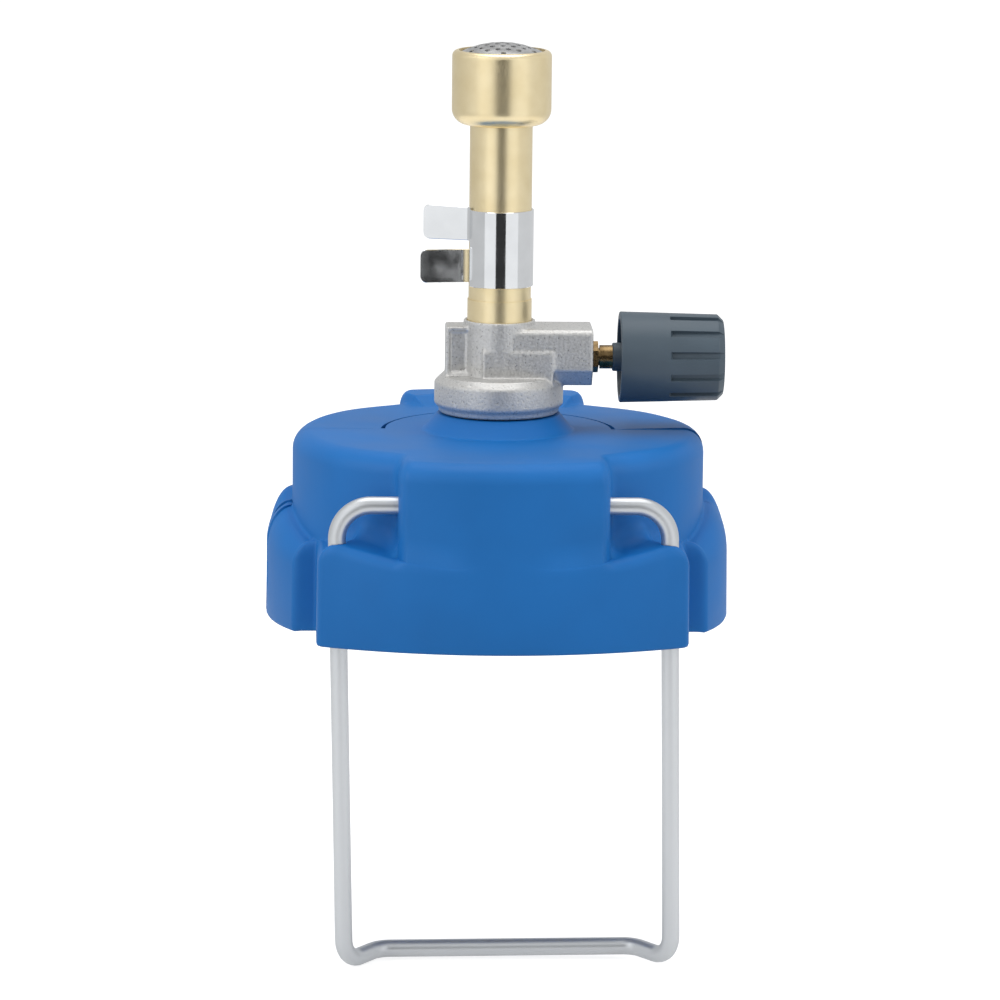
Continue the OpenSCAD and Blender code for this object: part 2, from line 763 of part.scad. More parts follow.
// Right half of the bail in its own upright plane, the pivot at the origin
module half_bail() {
    foot_dir = [-cos(foot_angle), sin(foot_angle), 0];
    foot_start = [leg_x, 0, -leg_len] + foot_bend_r * foot_dir;
    foot_end = foot_start + foot_bar * foot_dir;
    top_x = leg_x - top_bend_r;
    end_x = block_half_w - wire_in_block;
    translate([end_x, 0, 0]) rotate([0, 90, 0]) cylinder(r = wire_r, h = top_x - end_x + wire_lap);
    translate([top_x, 0, -top_bend_r]) rotate([90, 0, 0]) wire_bend(top_bend_r, 90);
    translate([leg_x, 0, foot_bend_r - leg_len]) wire_bar(leg_len - foot_bend_r - top_bend_r);
    translate(foot_start + [0, 0, foot_bend_r]) rotate([0, 0, -foot_angle]) mirror([0, 0, 1])
        rotate([90, 0, 0]) wire_bend(foot_bend_r, 90);
    translate(foot_start) rotate([0, 0, 180 - foot_angle]) rotate([0, 90, 0]) wire_bar(foot_bar);
    translate([crossbar_x, foot_back - foot_bend_r, -leg_len]) rotate([0, 0, 90 - foot_angle])
        wire_bend(foot_bend_r, foot_angle);
}

module bail() color(steel_grey)
    translate([0, -pivot_y, pivot_z]) rotate([leg_lean, 0, 0]) {
        half_bail();
        mirror([1, 0, 0]) half_bail();
        translate([-crossbar_x, foot_back, -leg_len]) rotate([0, 90, 0]) wire_bar(2 * crossbar_x);
    }

// ---------- Valve body ----------

module flange_and_stem() {
    translate([0, 0, flange_z]) rotate_extrude()
        polygon([[0, 0], [lip_r - 0.4, 0], [lip_r, 0.4], [lip_r, lip_h],
            [flange_r, lip_h + flange_r - lip_r], [flange_r, flange_h - flange_chamfer],
            [flange_r - flange_chamfer, flange_h], [0, flange_h]]);
    translate([0, 0, stem_z]) cylinder(r = stem_r, h = stem_len + 1);
}

// Arm section seen along X: flat top, chamfered lower edges
module arm_section()
    polygon([[-arm_half_w + arm_chamfer, arm_z], [arm_half_w - arm_chamfer, arm_z],
        [arm_half_w, arm_z + arm_chamfer], [arm_half_w, arm_top_z - arm_edge],
        [arm_half_w - arm_edge, arm_top_z], [arm_edge - arm_half_w, arm_top_z],
        [-arm_half_w, arm_top_z - arm_edge], [-arm_half_w, arm_z + arm_chamfer]]);

module end_boss()
    difference() {
        translate([-boss_x, -boss_half_w, flange_top_z - 1]) cube([boss_x, 2 * boss_half_w, boss_h + 1]);
        for (side = [0, 1]) mirror([0, side, 0])
            translate([boss_rim - boss_x, boss_half_w - boss_recess, flange_top_z + boss_rim])
                cube([boss_x - boss_rim, boss_recess + 1, boss_h - 2 * boss_rim]);
    }

// Cast pad in front of the column, nearly level with the arm's face
module front_pad()
    translate([-pad_left, 0, 0]) rotate([90, 0, 90]) linear_extrude(pad_left + pad_right)
        polygon([[0, flange_top_z - 1], [-pad_y, flange_top_z - 1], [-pad_y, flange_top_z + pad_h - 0.4],
            [0.4 - pad_y, flange_top_z + pad_h], [0, flange_top_z + pad_h]]);

module valve_passages() {
    translate([0, 0, stem_z - eps]) cylinder(r = holder_r + tube_fit, h = holder_in + filter_t + 2 * eps);
    translate([0, 0, stem_z]) cylinder(r = passage_r, h = spindle_z - stem_z);
    translate([0, 0, spindle_z]) cylinder(r = passage_r, h = far);
    translate([0, 0, tube_z - injector_in]) cylinder(r = injector_r + tube_fit, h = far);
    translate([0, 0, tube_z]) cylinder(r = tube_socket_r, h = far);
    along_x(0) cylinder(r = passage_r, h = arm_x);
    along_x(spindle_tip_x) cylinder(r = spindle_stem_r + spindle_play, h = arm_x);
    along_x(bore_x) cylinder(r = arm_bore_r, h = arm_x);
    along_x(packing_x) cylinder(r = gland_thread_r + tube_fit, h = arm_x);
}

module valve_body() color(cast_grey)
    difference() {
        union() {
            flange_and_stem();
            translate([0, 0, flange_top_z - 1]) cylinder(r = socket_out_r, h = socket_top_h + 1);
            rotate([90, 0, 90]) linear_extrude(arm_x) arm_section();
            end_boss();
            front_pad();
        }
        valve_passages();
    }

// ---------- Cartridge seal and needle ----------

module needle_holder() color(brass_gold)
    ring(holder_r, needle_r + tube_fit, stem_z - holder_out, holder_out + holder_in);

module piercing_needle() color(steel_grey)
    difference() {
        union() {
            translate([0, 0, needle_z + 2]) cylinder(r = needle_r, h = needle_len - 2);
            translate([0, 0, needle_z]) cylinder(r1 = 0.5, r2 = needle_r, h = 2 + eps);
        }
        translate([0, 0, needle_z - 1]) cylinder(r = 0.4, h = needle_len + 2);
    }

module gas_filter() color(steel_grey)
    translate([0, 0, stem_z + holder_in]) cylinder(r = holder_r, h = filter_t);

module cartridge_seal() color(rubber_black)
    ring(seal_r, holder_r + seal_room, stem_z - seal_washer_t - seal_t, seal_t);

module seal_washer() color(steel_grey)
    ring(seal_r, holder_r + seal_room, stem_z - seal_washer_t, seal_washer_t);

// ---------- Gland, spindle and knob ----------

module gland_nut() color(brass_gold)
    difference() {
        union() {
            along_x(gland_bottom_x) cylinder(r = gland_thread_r, h = gland_in + eps);
            along_x(arm_x) cylinder(r = gland_r, h = gland_out, $fn = 6);
        }
        along_x(0) cylinder(r = spindle_stem_r + spindle_play, h = far);
    }

module gland_packing() color(rubber_black)
    along_x(packing_x) difference() {
        cylinder(r = gland_thread_r, h = packing_t);
        translate([0, 0, -1]) cylinder(r = spindle_stem_r + spindle_play, h = packing_t + 2);
    }

module valve_spindle() color(brass_gold) {
    along_x(spindle_tip_x) cylinder(r1 = 0.5, r2 = spindle_stem_r, h = 3);
    along_x(spindle_tip_x + 3) cylinder(r = spindle_stem_r, h = spindle_end_x - spindle_tip_x - 3);
    for (side = [-1, 1])
        along_x(oring_x + side * (oring_wire_r + 0.5) - 0.4)
            cylinder(r = arm_bore_r - spindle_play, h = 0.8);
    along_x(collar_x) cylinder(r = spindle_r, h = knob_x - knob_hub_out - collar_x);
}

module spindle_oring() color(rubber_black)
    along_x(oring_x) rotate_extrude()
        translate([spindle_stem_r + spindle_play + oring_wire_r, 0]) circle(oring_wire_r, $fn = 24);

module knob_profile() {
    polygon([[0, 0], [knob_r, 0], [knob_end_r, knob_len - knob_edge_r], [0, knob_len - knob_edge_r]]);
    square([knob_end_r - knob_edge_r, knob_len]);
    translate([knob_end_r - knob_edge_r, knob_len - knob_edge_r]) circle(knob_edge_r);
}

module control_knob() color(knob_slate)
    along_x(knob_x) difference() {
        union() {
            difference() {
                rotate_extrude() knob_profile();
                translate([0, 0, -1]) cylinder(r = knob_r - knob_wall, h = knob_hollow + 1);
            }
            translate([0, 0, -knob_hub_out]) cylinder(r = knob_hub_r, h = knob_hub_out + knob_hollow + 1);
        }
        translate([0, 0, -knob_hub_out - 1])
            cylinder(r = spindle_stem_r + tube_fit, h = spindle_end_x - knob_x + knob_hub_out + 1);
        for (i = [0 : groove_count - 1]) rotate((i + 0.5) * 360 / groove_count)
            translate([knob_end_r + groove_r / 4, 0, knob_len - knob_edge_r / 2 - groove_len])
                cylinder(r = groove_r, h = groove_len, $fn = 24);
    }

// ---------- Injector, tube and collar ----------

module injector() color(brass_gold)
    difference() {
        union() {
            translate([0, 0, tube_z - injector_in])
                cylinder(r = injector_r, h = injector_in + injector_h - 3);
            translate([0, 0, tube_z + injector_washer_t])
                cylinder(r = injector_hex_r, h = injector_hex_h, $fn = 6);
            translate([0, 0, tube_z + injector_h - 3 - eps])
                cylinder(r1 = injector_r, r2 = injector_r / 2, h = 3 + eps);
        }
        translate([0, 0, tube_z - injector_in - 1]) cylinder(r = 1.2, h = injector_in + injector_h - 1);
        translate([0, 0, tube_z]) cylinder(r = jet_r, h = far);
    }

module injector_washer() color(steel_grey)
    ring(injector_hex_r - 0.4, injector_r + tube_fit, tube_z, injector_washer_t);

module burner_tube() color(brass_gold)
    difference() {
        union() {
            translate([0, 0, tube_z]) cylinder(r = thick_tube_r, h = step_z - tube_z);
            translate([0, 0, tube_z]) cylinder(r = tube_r, h = head_z + head_floor - tube_z);
        }
        translate([0, 0, tube_z - 1]) cylinder(r = tube_bore_r, h = far);
        translate([0, 0, step_z + air_hole_h]) rotate([90, 0, 0])
            cylinder(r = air_hole_r, h = far, center = true);
    }

// Flat tab that leaves the band's end in the -X direction
module collar_tab(deg, z0) {
    mid_r = (collar_in_r + collar_out_r) / 2;
    start_x = mid_r * cos(deg);
    translate([0, mid_r * sin(deg) + collar_t / 2, z0 + tab_h / 2]) rotate([90, 0, 0])
        linear_extrude(collar_t) translate([start_x, 0]) rotate(90)
            arched_rect(tab_h / 2, 0, tab_reach + start_x, tab_corner_r);
}

module air_collar() color(steel_grey) {
    rotate(collar_front_deg) rotate_extrude(angle = 360 - collar_open_deg)
        translate([collar_in_r, collar_z]) square([collar_t, collar_h]);
    collar_tab(collar_front_deg, collar_z + collar_h - tab_h + 0.6);
    collar_tab(collar_front_deg - collar_open_deg, collar_z + collar_h - 2 * tab_h - tab_level_gap + 0.6);
}

// ---------- Head and flame grid ----------

module burner_head() color(brass_gold)
    difference() {
        translate([0, 0, head_z]) rotate_extrude() {
            square([head_r - head_foot_r, head_h]);
            translate([0, head_foot_r]) square([head_r, head_h - head_foot_r - head_rim_r]);
            translate([head_r - head_foot_r, head_foot_r]) circle(head_foot_r);
            square([head_r - head_foot_r, head_foot_r]);
            translate([0, head_foot_r]) square([head_r - head_rim_r, head_h - head_foot_r]);
            translate([head_r - head_rim_r, head_h - head_rim_r]) circle(head_rim_r);
        }
        translate([0, 0, head_z - 1]) cylinder(r = tube_r + tube_fit, h = far);
        translate([0, 0, head_z + head_floor]) cylinder(r = mouth_r - grid_ledge, h = far);
        translate([0, 0, grid_z]) cylinder(r = mouth_r, h = far);
    }

// Places of the staggered holes, as many as fit inside the grid's flat edge
function grid_points() =
    let (row_step = grid_pitch * sin(60), reach = grid_r - grid_edge - grid_hole_r,
        rows = floor(reach / row_step), cols = ceil(reach / grid_pitch))
    [for (row = [-rows : rows], col = [-cols : cols])
        let (x = (col + (row % 2 == 0 ? 0 : 0.5)) * grid_pitch, y = row * row_step)
        if (norm([x, y]) < reach) [x, y]];

module flame_grid() color(steel_grey)
    difference() {
        union() {
            ring(grid_r, grid_r - grid_edge, grid_z, grid_t);
            intersection() {
                translate([0, 0, grid_z + grid_t + grid_rise - grid_ball_r]) difference() {
                    sphere(grid_ball_r);
                    sphere(grid_ball_r - grid_t);
                }
                translate([0, 0, grid_z]) cylinder(r = grid_r - grid_edge / 2, h = far);
            }
        }
        for (place = grid_points())
            translate([place[0], place[1], grid_z - 1])
                cylinder(r = grid_hole_r, h = grid_rise + 4, $fn = 24);
    }

front_shell();
rear_shell();
hinge_pin();
threaded_bush();
bush_ring();
bail();
valve_body();
needle_holder();
piercing_needle();
gas_filter();
cartridge_seal();
seal_washer();
gland_nut();
gland_packing();
valve_spindle();
spindle_oring();
control_knob();
injector();
injector_washer();
burner_tube();
air_collar();
burner_head();
flame_grid();
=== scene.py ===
"""Dresses the packed gas burner: moulded cap, cast valve body, wire bail, brass tube and head, plated collar.

Sizes below are millimetres in the frame's own axes: +Z up the burner tube, +X to the knob, -Y to the bail. The
settings keep metres and radians, as Blender shows them, and the builders read them as millimetres and degrees.
"""

import json
import math
from functools import partial
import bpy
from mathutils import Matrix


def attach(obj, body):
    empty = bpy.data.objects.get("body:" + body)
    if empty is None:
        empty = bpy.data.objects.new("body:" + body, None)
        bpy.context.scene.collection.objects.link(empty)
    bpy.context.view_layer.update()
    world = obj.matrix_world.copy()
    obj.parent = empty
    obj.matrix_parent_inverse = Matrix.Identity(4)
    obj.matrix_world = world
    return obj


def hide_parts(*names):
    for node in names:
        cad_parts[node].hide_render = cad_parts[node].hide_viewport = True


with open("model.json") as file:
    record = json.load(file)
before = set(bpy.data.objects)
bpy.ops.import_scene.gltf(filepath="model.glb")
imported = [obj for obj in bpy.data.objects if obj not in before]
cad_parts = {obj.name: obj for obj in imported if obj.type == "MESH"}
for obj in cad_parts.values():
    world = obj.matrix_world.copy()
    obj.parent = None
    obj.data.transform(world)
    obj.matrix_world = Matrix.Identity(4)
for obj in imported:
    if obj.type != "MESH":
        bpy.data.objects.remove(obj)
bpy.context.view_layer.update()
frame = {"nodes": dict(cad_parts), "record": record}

from types import SimpleNamespace

import bmesh
import bpy
import numpy as np
from mathutils import Matrix, Vector

bl_info = {
    "name": "Gas Burner Dresser",
    "version": (1, 0, 0),
    "blender": (4, 5, 0),
    "location": "3D View > Sidebar > Burner",
    "description": "Builds the visible surfaces, finishes and stage of a cartridge gas burner",
    "category": "Object",
}

MM = 0.001
TINY = 1e-12  # keeps a divisor from being nought

# Meshing: distances in metres, angles in degrees
WELD = 1e-7
SKIN_WELD = 2e-6
SLIVER = 1e-8
SHARP_DEG = 35.0
SKIN_SHARP_DEG = 72.0


# ---------- Numbers shared by the shapes ----------

def ease(low, high, value):
    """Runs smoothly from 0 at low to 1 at high: 3t^2 - 2t^3 of the clipped share t."""
    t = np.clip((value - low) / (high - low), 0.0, 1.0)
    return t * t * (3 - 2 * t)


def soft_min(a, b, width):
    """The lesser of a and b, rounded off where they differ by less than width."""
    share = np.clip(0.5 + 0.5 * (b - a) / width, 0.0, 1.0)
    return b + (a - b) * share - width * share * (1 - share)


def soft_max(a, b, width):
    """The greater of a and b, filleted where they differ by less than width."""
    return -soft_min(-a, -b, width)


def unit(vectors):
    """Each vector over its own length."""
    return vectors / np.maximum(np.linalg.norm(vectors, axis=-1, keepdims=True), TINY)


SIDE_SHARE = 0.48  # the most of a side that one arc takes, unless it says otherwise
HALF_ANGLES = (0.02, math.pi / 2 - 0.002)  # the sharpest and the flattest corner that an arc is worked out for


def rounded_path(corners, radii, steps, shares=None):
    """A run of corners whose inner ones become arcs of so many steps.

    corners holds k points, each an array (..., d) that may vary over many sections at once. An arc of radius r
    touches both sides at r / tan(h) from the corner, h being half the corner's angle, and turns by pi - 2h about
    its centre on the bisector. No arc takes more than its share of a side. A radius of None keeps a corner sharp.
    """
    c = np.stack(np.broadcast_arrays(*[np.asarray(p, float) for p in corners]), axis=-2)
    parts = [c[..., :1, :]]
    for i in range(1, c.shape[-2] - 1):
        here = c[..., i, :]
        if radii[i] is None:
            parts.append(here[..., None, :])
            continue
        side_a, side_b = c[..., i - 1, :] - here, c[..., i + 1, :] - here
        len_a, len_b = np.linalg.norm(side_a, axis=-1), np.linalg.norm(side_b, axis=-1)
        a, b = unit(side_a), unit(side_b)
        half = 0.5 * np.arccos(np.clip((a * b).sum(-1), -1, 1))
        half = np.clip(half, *HALF_ANGLES)
        share_a, share_b = (SIDE_SHARE, SIDE_SHARE) if shares is None or shares[i] is None else shares[i]
        reach = np.minimum(np.minimum(radii[i] / np.tan(half), share_a * len_a), share_b * len_b)
        centre = here + unit(a + b) * (reach / np.cos(half))[..., None]
        start, end = here + a * reach[..., None] - centre, here + b * reach[..., None] - centre
        turn = (math.pi - 2 * half)[..., None, None]
        s = np.linspace(0, 1, steps)[:, None]
        arc = np.sin((1 - s) * turn) * start[..., None, :] + np.sin(s * turn) * end[..., None, :]
        parts.append(centre[..., None, :] + arc / np.sin(turn))
    parts.append(c[..., -1:, :])
    return np.concatenate(parts, axis=-2)


FINE_ANGLES = 9001


def even_angles(start, end, spacing, *outlines):
    """Angles between two limits, spaced evenly along polar outlines: the length of each outline is
    the integral of sqrt(R^2 + R'^2), summed over fine steps, and their mean is cut into equal steps."""
    fine = np.linspace(start, end, FINE_ANGLES)
    length = np.zeros(len(fine))
    for outline in outlines:
        r = outline(fine)
        steps = np.hypot(np.diff(r), 0.5 * (r[1:] + r[:-1]) * np.diff(fine))
        length[1:] += np.cumsum(steps) / len(outlines)
    count = int(math.ceil(length[-1] / spacing)) + 1
    return np.interp(np.linspace(0, length[-1], count), length, fine)


# ---------- Meshes ----------

def grid_faces(rows, cols, wrap_rows, wrap_cols, first=0):
    """Quads between neighbouring points of a rows x cols grid whose points are numbered row by row from first."""
    r = np.arange(rows if wrap_rows else rows - 1)
    c = np.arange(cols if wrap_cols else cols - 1)
    i, j = np.meshgrid(r, c, indexing="ij")
    i2, j2 = (i + 1) % rows, (j + 1) % cols
    quads = np.stack([i * cols + j, i2 * cols + j, i2 * cols + j2, i * cols + j2], axis=-1)
    return (quads.reshape(-1, 4) + first).tolist()


def mesh_object(name, points, faces, sharp_deg=SHARP_DEG, weld=WELD):
    """A closed mesh from points in millimetres, its doubles merged, its faces turned outwards and its edges
    sharp past sharp_deg."""
    mesh = bpy.data.meshes.new(name)
    mesh.from_pydata((np.asarray(points, float).reshape(-1, 3) * MM).tolist(), [], faces)
    work = bmesh.new()
    work.from_mesh(mesh)
    bmesh.ops.remove_doubles(work, verts=work.verts, dist=weld)
    bmesh.ops.dissolve_degenerate(work, edges=work.edges, dist=SLIVER)
    bmesh.ops.recalc_face_normals(work, faces=work.faces)
    work.to_mesh(mesh)
    work.free()
    mesh.polygons.foreach_set("use_smooth", np.ones(len(mesh.polygons), bool))
    mesh.set_sharp_from_angle(angle=math.radians(sharp_deg))
    piece = bpy.data.objects.new(name, mesh)
    bpy.context.scene.collection.objects.link(piece)
    return piece


def turned(profile, angles):
    """Points (r cos a, r sin a, z) of a profile (r, z), or of one for each angle a, turned about the z axis."""
    p = np.broadcast_to(profile, (len(angles),) + np.shape(profile)[-2:])
    a = angles[:, None]
    return np.stack([p[..., 0] * np.cos(a), p[..., 0] * np.sin(a), p[..., 1]], axis=-1)


def round_rod(name, path, radius, sides=28):
    """A circle carried along a path: its plane is square to the path's tangent t, with axes t x y and t x (t x y),
    and flat discs close its ends."""
    tangent = unit(np.gradient(path, axis=0))
    across = unit(np.cross(tangent, [0.0, 1.0, 0.0]))
    second = np.cross(tangent, across)
    a = np.arange(sides) * 2 * math.pi / sides
    ring = np.cos(a)[None, :, None] * across[:, None] + np.sin(a)[None, :, None] * second[:, None]
    points = path[:, None] + radius * ring
    faces = grid_faces(len(path), sides, False, True)
    last = (len(path) - 1) * sides
    faces += [list(range(sides)), list(range(last, last + sides))]
    return mesh_object(name, points, faces)


def cut(piece, *cutters):
    """Takes the cutters' volumes out of the piece and deletes them."""
    for cutter in cutters:
        modifier = piece.modifiers.new("cut", "BOOLEAN")
        modifier.operation, modifier.solver, modifier.object = "DIFFERENCE", "EXACT", cutter
    bpy.context.view_layer.update()
    made = bpy.data.meshes.new_from_object(piece.evaluated_get(bpy.context.evaluated_depsgraph_get()))
    piece.modifiers.clear()
    piece.data = made
    for cutter in cutters:
        bpy.data.objects.remove(cutter)


def finish_piece(piece, material, body, slot, *nodes):
    """Gives a piece its finish and its body, and hides the CAD nodes that it stands for."""
    piece.data.materials.clear()
    piece.data.materials.append(material)
    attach(piece, body)
    if nodes:
        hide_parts(*nodes)


# ---------- Finishes ----------

def new_group(name, inputs, outputs):
    """An empty shader node group with float inputs (name, default, low, high), a vector input and its outputs."""
    group = bpy.data.node_groups.new(name, "ShaderNodeTree")
    group.interface.new_socket("Vector", in_out="INPUT", socket_type="NodeSocketVector")
    for label, default, low, high in inputs:
        socket = group.interface.new_socket(label, in_out="INPUT", socket_type="NodeSocketFloat")
        socket.default_value, socket.min_value, socket.max_value = default, low, high
    for label in outputs:
        group.interface.new_socket(label, in_out="OUTPUT", socket_type="NodeSocketFloat")
    return group, group.nodes.new("NodeGroupInput"), group.nodes.new("NodeGroupOutput")


def place(nodes, kind, **settings):
    """A node of a kind with its properties set by name and its inputs set by position, as in in0=1.0."""
    node = nodes.new(kind)
    for key, value in settings.items():
        if key.startswith("in") and key[2:].isdigit():
            node.inputs[int(key[2:])].default_value = value
        else:
            setattr(node, key, value)
    return node


def grain_group():
    """Moulded or cast grain: fine noise for the surface's height, broad noise for its slow unevenness."""
    group, taken, given = new_group("Grain", [("Grain Size", 0.4, 0.05, 20.0), ("Patch Size", 12.0, 1.0, 200.0)],
                                    ["Height", "Patches"])
    n, link = group.nodes, group.links.new
    for size, output, detail in (("Grain Size", "Height", 3.0), ("Patch Size", "Patches", 2.0)):
        scale = place(n, "ShaderNodeMath", operation="DIVIDE", in0=1.0 / MM)
        link(taken.outputs[size], scale.inputs[1])
        noise = place(n, "ShaderNodeTexNoise")
        noise.inputs["Detail"].default_value = detail
        link(taken.outputs["Vector"], noise.inputs["Vector"])
        link(scale.outputs[0], noise.inputs["Scale"])
        link(noise.outputs[0], given.inputs[output])
    return group


AROUND_SCALE = 18.0  # how often the turning lines' noise repeats across the axis, in cycles a metre


def turning_group():
    """Lathe lines: noise squeezed along the axis and stretched round it, so that it runs in thin rings."""
    group, taken, given = new_group("Turning Lines", [("Line Pitch", 0.3, 0.05, 5.0)], ["Lines"])
    n, link = group.nodes, group.links.new
    split = place(n, "ShaderNodeSeparateXYZ")
    link(taken.outputs["Vector"], split.inputs[0])
    scale = place(n, "ShaderNodeMath", operation="DIVIDE", in0=1.0 / MM)
    link(taken.outputs["Line Pitch"], scale.inputs[1])
    axial = place(n, "ShaderNodeMath", operation="MULTIPLY")
    link(split.outputs[2], axial.inputs[0])
    link(scale.outputs[0], axial.inputs[1])
    around = []
    for axis in (0, 1):
        part = place(n, "ShaderNodeMath", operation="MULTIPLY", in1=AROUND_SCALE)
        link(split.outputs[axis], part.inputs[0])
        around.append(part)
    join = place(n, "ShaderNodeCombineXYZ")
    link(around[0].outputs[0], join.inputs[0])
    link(around[1].outputs[0], join.inputs[1])
    link(axial.outputs[0], join.inputs[2])
    noise = place(n, "ShaderNodeTexNoise")
    noise.inputs["Scale"].default_value = 1.0
    noise.inputs["Detail"].default_value = 3.0
    link(join.outputs[0], noise.inputs["Vector"])
    link(noise.outputs[0], given.inputs["Lines"])
    return group


FLAT_POINTINESS = 0.53  # below this the mesh counts as flat or hollow
WEAR_NOISE_SCALE = 500.0


def wear_group():
    """Edge wear: the mesh's pointiness, broken up by noise, as a mask that is 1 on worn edges."""
    group, taken, given = new_group("Edge Wear", [("Sharpness", 12.0, 1.0, 60.0)], ["Worn"])
    n, link = group.nodes, group.links.new
    shape = place(n, "ShaderNodeNewGeometry")
    past = place(n, "ShaderNodeMath", operation="SUBTRACT", in1=FLAT_POINTINESS)
    link(shape.outputs["Pointiness"], past.inputs[0])
    scaled = place(n, "ShaderNodeMath", operation="MULTIPLY", use_clamp=True)
    link(past.outputs[0], scaled.inputs[0])
    link(taken.outputs["Sharpness"], scaled.inputs[1])
    noise = place(n, "ShaderNodeTexNoise")
    noise.inputs["Scale"].default_value = WEAR_NOISE_SCALE
    link(taken.outputs["Vector"], noise.inputs["Vector"])
    worn = place(n, "ShaderNodeMath", operation="MULTIPLY", use_clamp=True)
    link(scaled.outputs[0], worn.inputs[0])
    link(noise.outputs[0], worn.inputs[1])
    link(worn.outputs[0], given.inputs["Worn"])
    return group


def shared(name, builder):
    """The node group of that name, built once."""
    return bpy.data.node_groups.get(name) or builder()


NOISE_LOW, NOISE_HIGH = 0.3, 0.7  # where most of a noise's values lie


def shaded(tone, share):
    """A colour darkened to a share of itself, or to a share for each channel."""
    return tuple(np.multiply(tone[:3], share))


class Finish:
    """One Principled material and the nodes that vary it over the surface, on Object coordinates."""

    def __init__(self, name, metallic=0.0, **sockets):
        self.material = bpy.data.materials.new(name)
        self.material.use_nodes = True
        self.nodes, self.link = self.material.node_tree.nodes, self.material.node_tree.links.new
        self.shader = self.nodes["Principled BSDF"]
        self.shader.inputs["Metallic"].default_value = metallic
        for socket, value in sockets.items():
            self.shader.inputs[socket.replace("_", " ")].default_value = value
        self.coordinates = self.nodes.new("ShaderNodeTexCoord").outputs["Object"]

    def stretched(self, scale):
        """Object coordinates scaled along each axis."""
        mapping = place(self.nodes, "ShaderNodeMapping")
        mapping.inputs["Scale"].default_value = scale
        self.link(self.coordinates, mapping.inputs["Vector"])
        return mapping.outputs[0]

    def effect(self, name, builder, vector=None, **values):
        """A shared group with its own values; returns its outputs."""
        node = place(self.nodes, "ShaderNodeGroup")
        node.node_tree = shared(name, builder)
        self.link(vector or self.coordinates, node.inputs["Vector"])
        for label, value in values.items():
            node.inputs[label.replace("_", " ")].default_value = value
        return node.outputs

    def between(self, factor, low, high):
        """A value that runs from low to high as the factor runs over the middle of a noise's range."""
        node = place(self.nodes, "ShaderNodeMapRange")
        ends = {"From Min": NOISE_LOW, "From Max": NOISE_HIGH, "To Min": low, "To Max": high}
        for label, value in ends.items():
            node.inputs[label].default_value = value
        self.link(factor, node.inputs["Value"])
        return node.outputs[0]

    def mix(self, factor, a, b):
        """Colour a where the factor is 0 and b where it is 1; each is a colour or another mix's output."""
        node = place(self.nodes, "ShaderNodeMix", data_type="RGBA")
        self.link(factor, node.inputs["Factor"])
        for socket, value in ((node.inputs[6], a), (node.inputs[7], b)):
            if isinstance(value, bpy.types.NodeSocket):
                self.link(value, socket)
            else:
                socket.default_value = (*value[:3], 1.0)
        return node.outputs[2]

    def set(self, socket, value):
        """Feeds a socket of the Principled shader."""
        self.link(value, self.shader.inputs[socket])

    def mottle(self, noise, tone, share):
        """Base colour that runs with a noise from a share of the tone to the tone itself."""
        self.set("Base Color", self.mix(self.between(noise, 0, 1), shaded(tone, share), tone))

    def bump(self, height, depth_mm, normal=None):
        """Bump of a real depth, on top of an earlier one."""
        node = place(self.nodes, "ShaderNodeBump")
        node.inputs["Strength"].default_value = 1.0
        node.inputs["Distance"].default_value = depth_mm * MM
        self.link(height, node.inputs["Height"])
        if normal is not None:
            self.link(normal, node.inputs["Normal"])
        self.set("Normal", node.outputs[0])
        return node.outputs[0]


def grained(name, tone, share, grain, patch, gloss, depth, **values):
    """A finish whose grain stands in its height by depth, and whose broad patches run from a share of the tone to
    the tone and through a range of roughness. Sizes are in millimetres; values go to the shader's own sockets."""
    f = Finish(name, **values)
    noise = f.effect("Grain", grain_group, Grain_Size=grain, Patch_Size=patch)
    f.mottle(noise["Patches"], tone, share)
    f.set("Roughness", f.between(noise["Patches"], *gloss))
    f.bump(noise["Height"], depth)
    return f.material


def shell_plastic(colours):
    """Satin moulded plastic: fine spark-eroded grain, slow unevenness in colour and gloss."""
    return grained("shell_plastic", colours.shell, 0.9, grain=0.45, patch=22.0, gloss=(0.46, 0.56), depth=0.012,
                   IOR=1.46, Specular_IOR_Level=0.3)


def cast_zinc(colours):
    """Tumbled die casting: coarse pebbled skin, dull in its hollows and bright on its edges."""
    f = Finish("cast_zinc", metallic=0.55)
    grain = f.effect("Grain", grain_group, Grain_Size=0.6, Patch_Size=7.0)
    worn = f.effect("Edge Wear", wear_group, Sharpness=14.0)
    base = f.mix(f.between(grain["Height"], 0, 1), shaded(colours.casting, 0.78), colours.casting)
    f.set("Base Color", f.mix(worn["Worn"], base, colours.rubbed))
    f.set("Roughness", f.between(grain["Height"], 0.26, 0.46))
    f.bump(grain["Height"], 0.11)
    return f.material


def turned_brass(colours):
    """Bright-dipped brass: a fine mottled grain, faint rings round the axis and slow patches of tarnish."""
    f = Finish("turned_brass", metallic=1.0)
    lines = f.effect("Turning Lines", turning_group, Line_Pitch=0.6)
    grain = f.effect("Grain", grain_group, Grain_Size=0.3, Patch_Size=5.0)
    f.mottle(grain["Patches"], colours.brass, (0.93, 0.91, 0.86))
    f.set("Roughness", f.between(grain["Height"], 0.28, 0.38))
    f.bump(grain["Height"], 0.007, f.bump(lines["Lines"], 0.001))
    return f.material


def aged_brass(colours):
    """Turned brass drawn in two browns far darker than the bright brass, mottled between them."""
    f = Finish("aged_brass", metallic=1.0)
    grain = f.effect("Grain", grain_group, Grain_Size=0.3, Patch_Size=2.5)
    brown, dark = shaded(colours.brass, (0.3, 0.24, 0.18)), shaded(colours.brass, (0.12, 0.09, 0.06))
    f.set("Base Color", f.mix(f.between(grain["Patches"], 0, 1), dark, brown))
    f.set("Roughness", f.between(grain["Height"], 0.2, 0.4))
    f.bump(grain["Height"], 0.008)
    return f.material


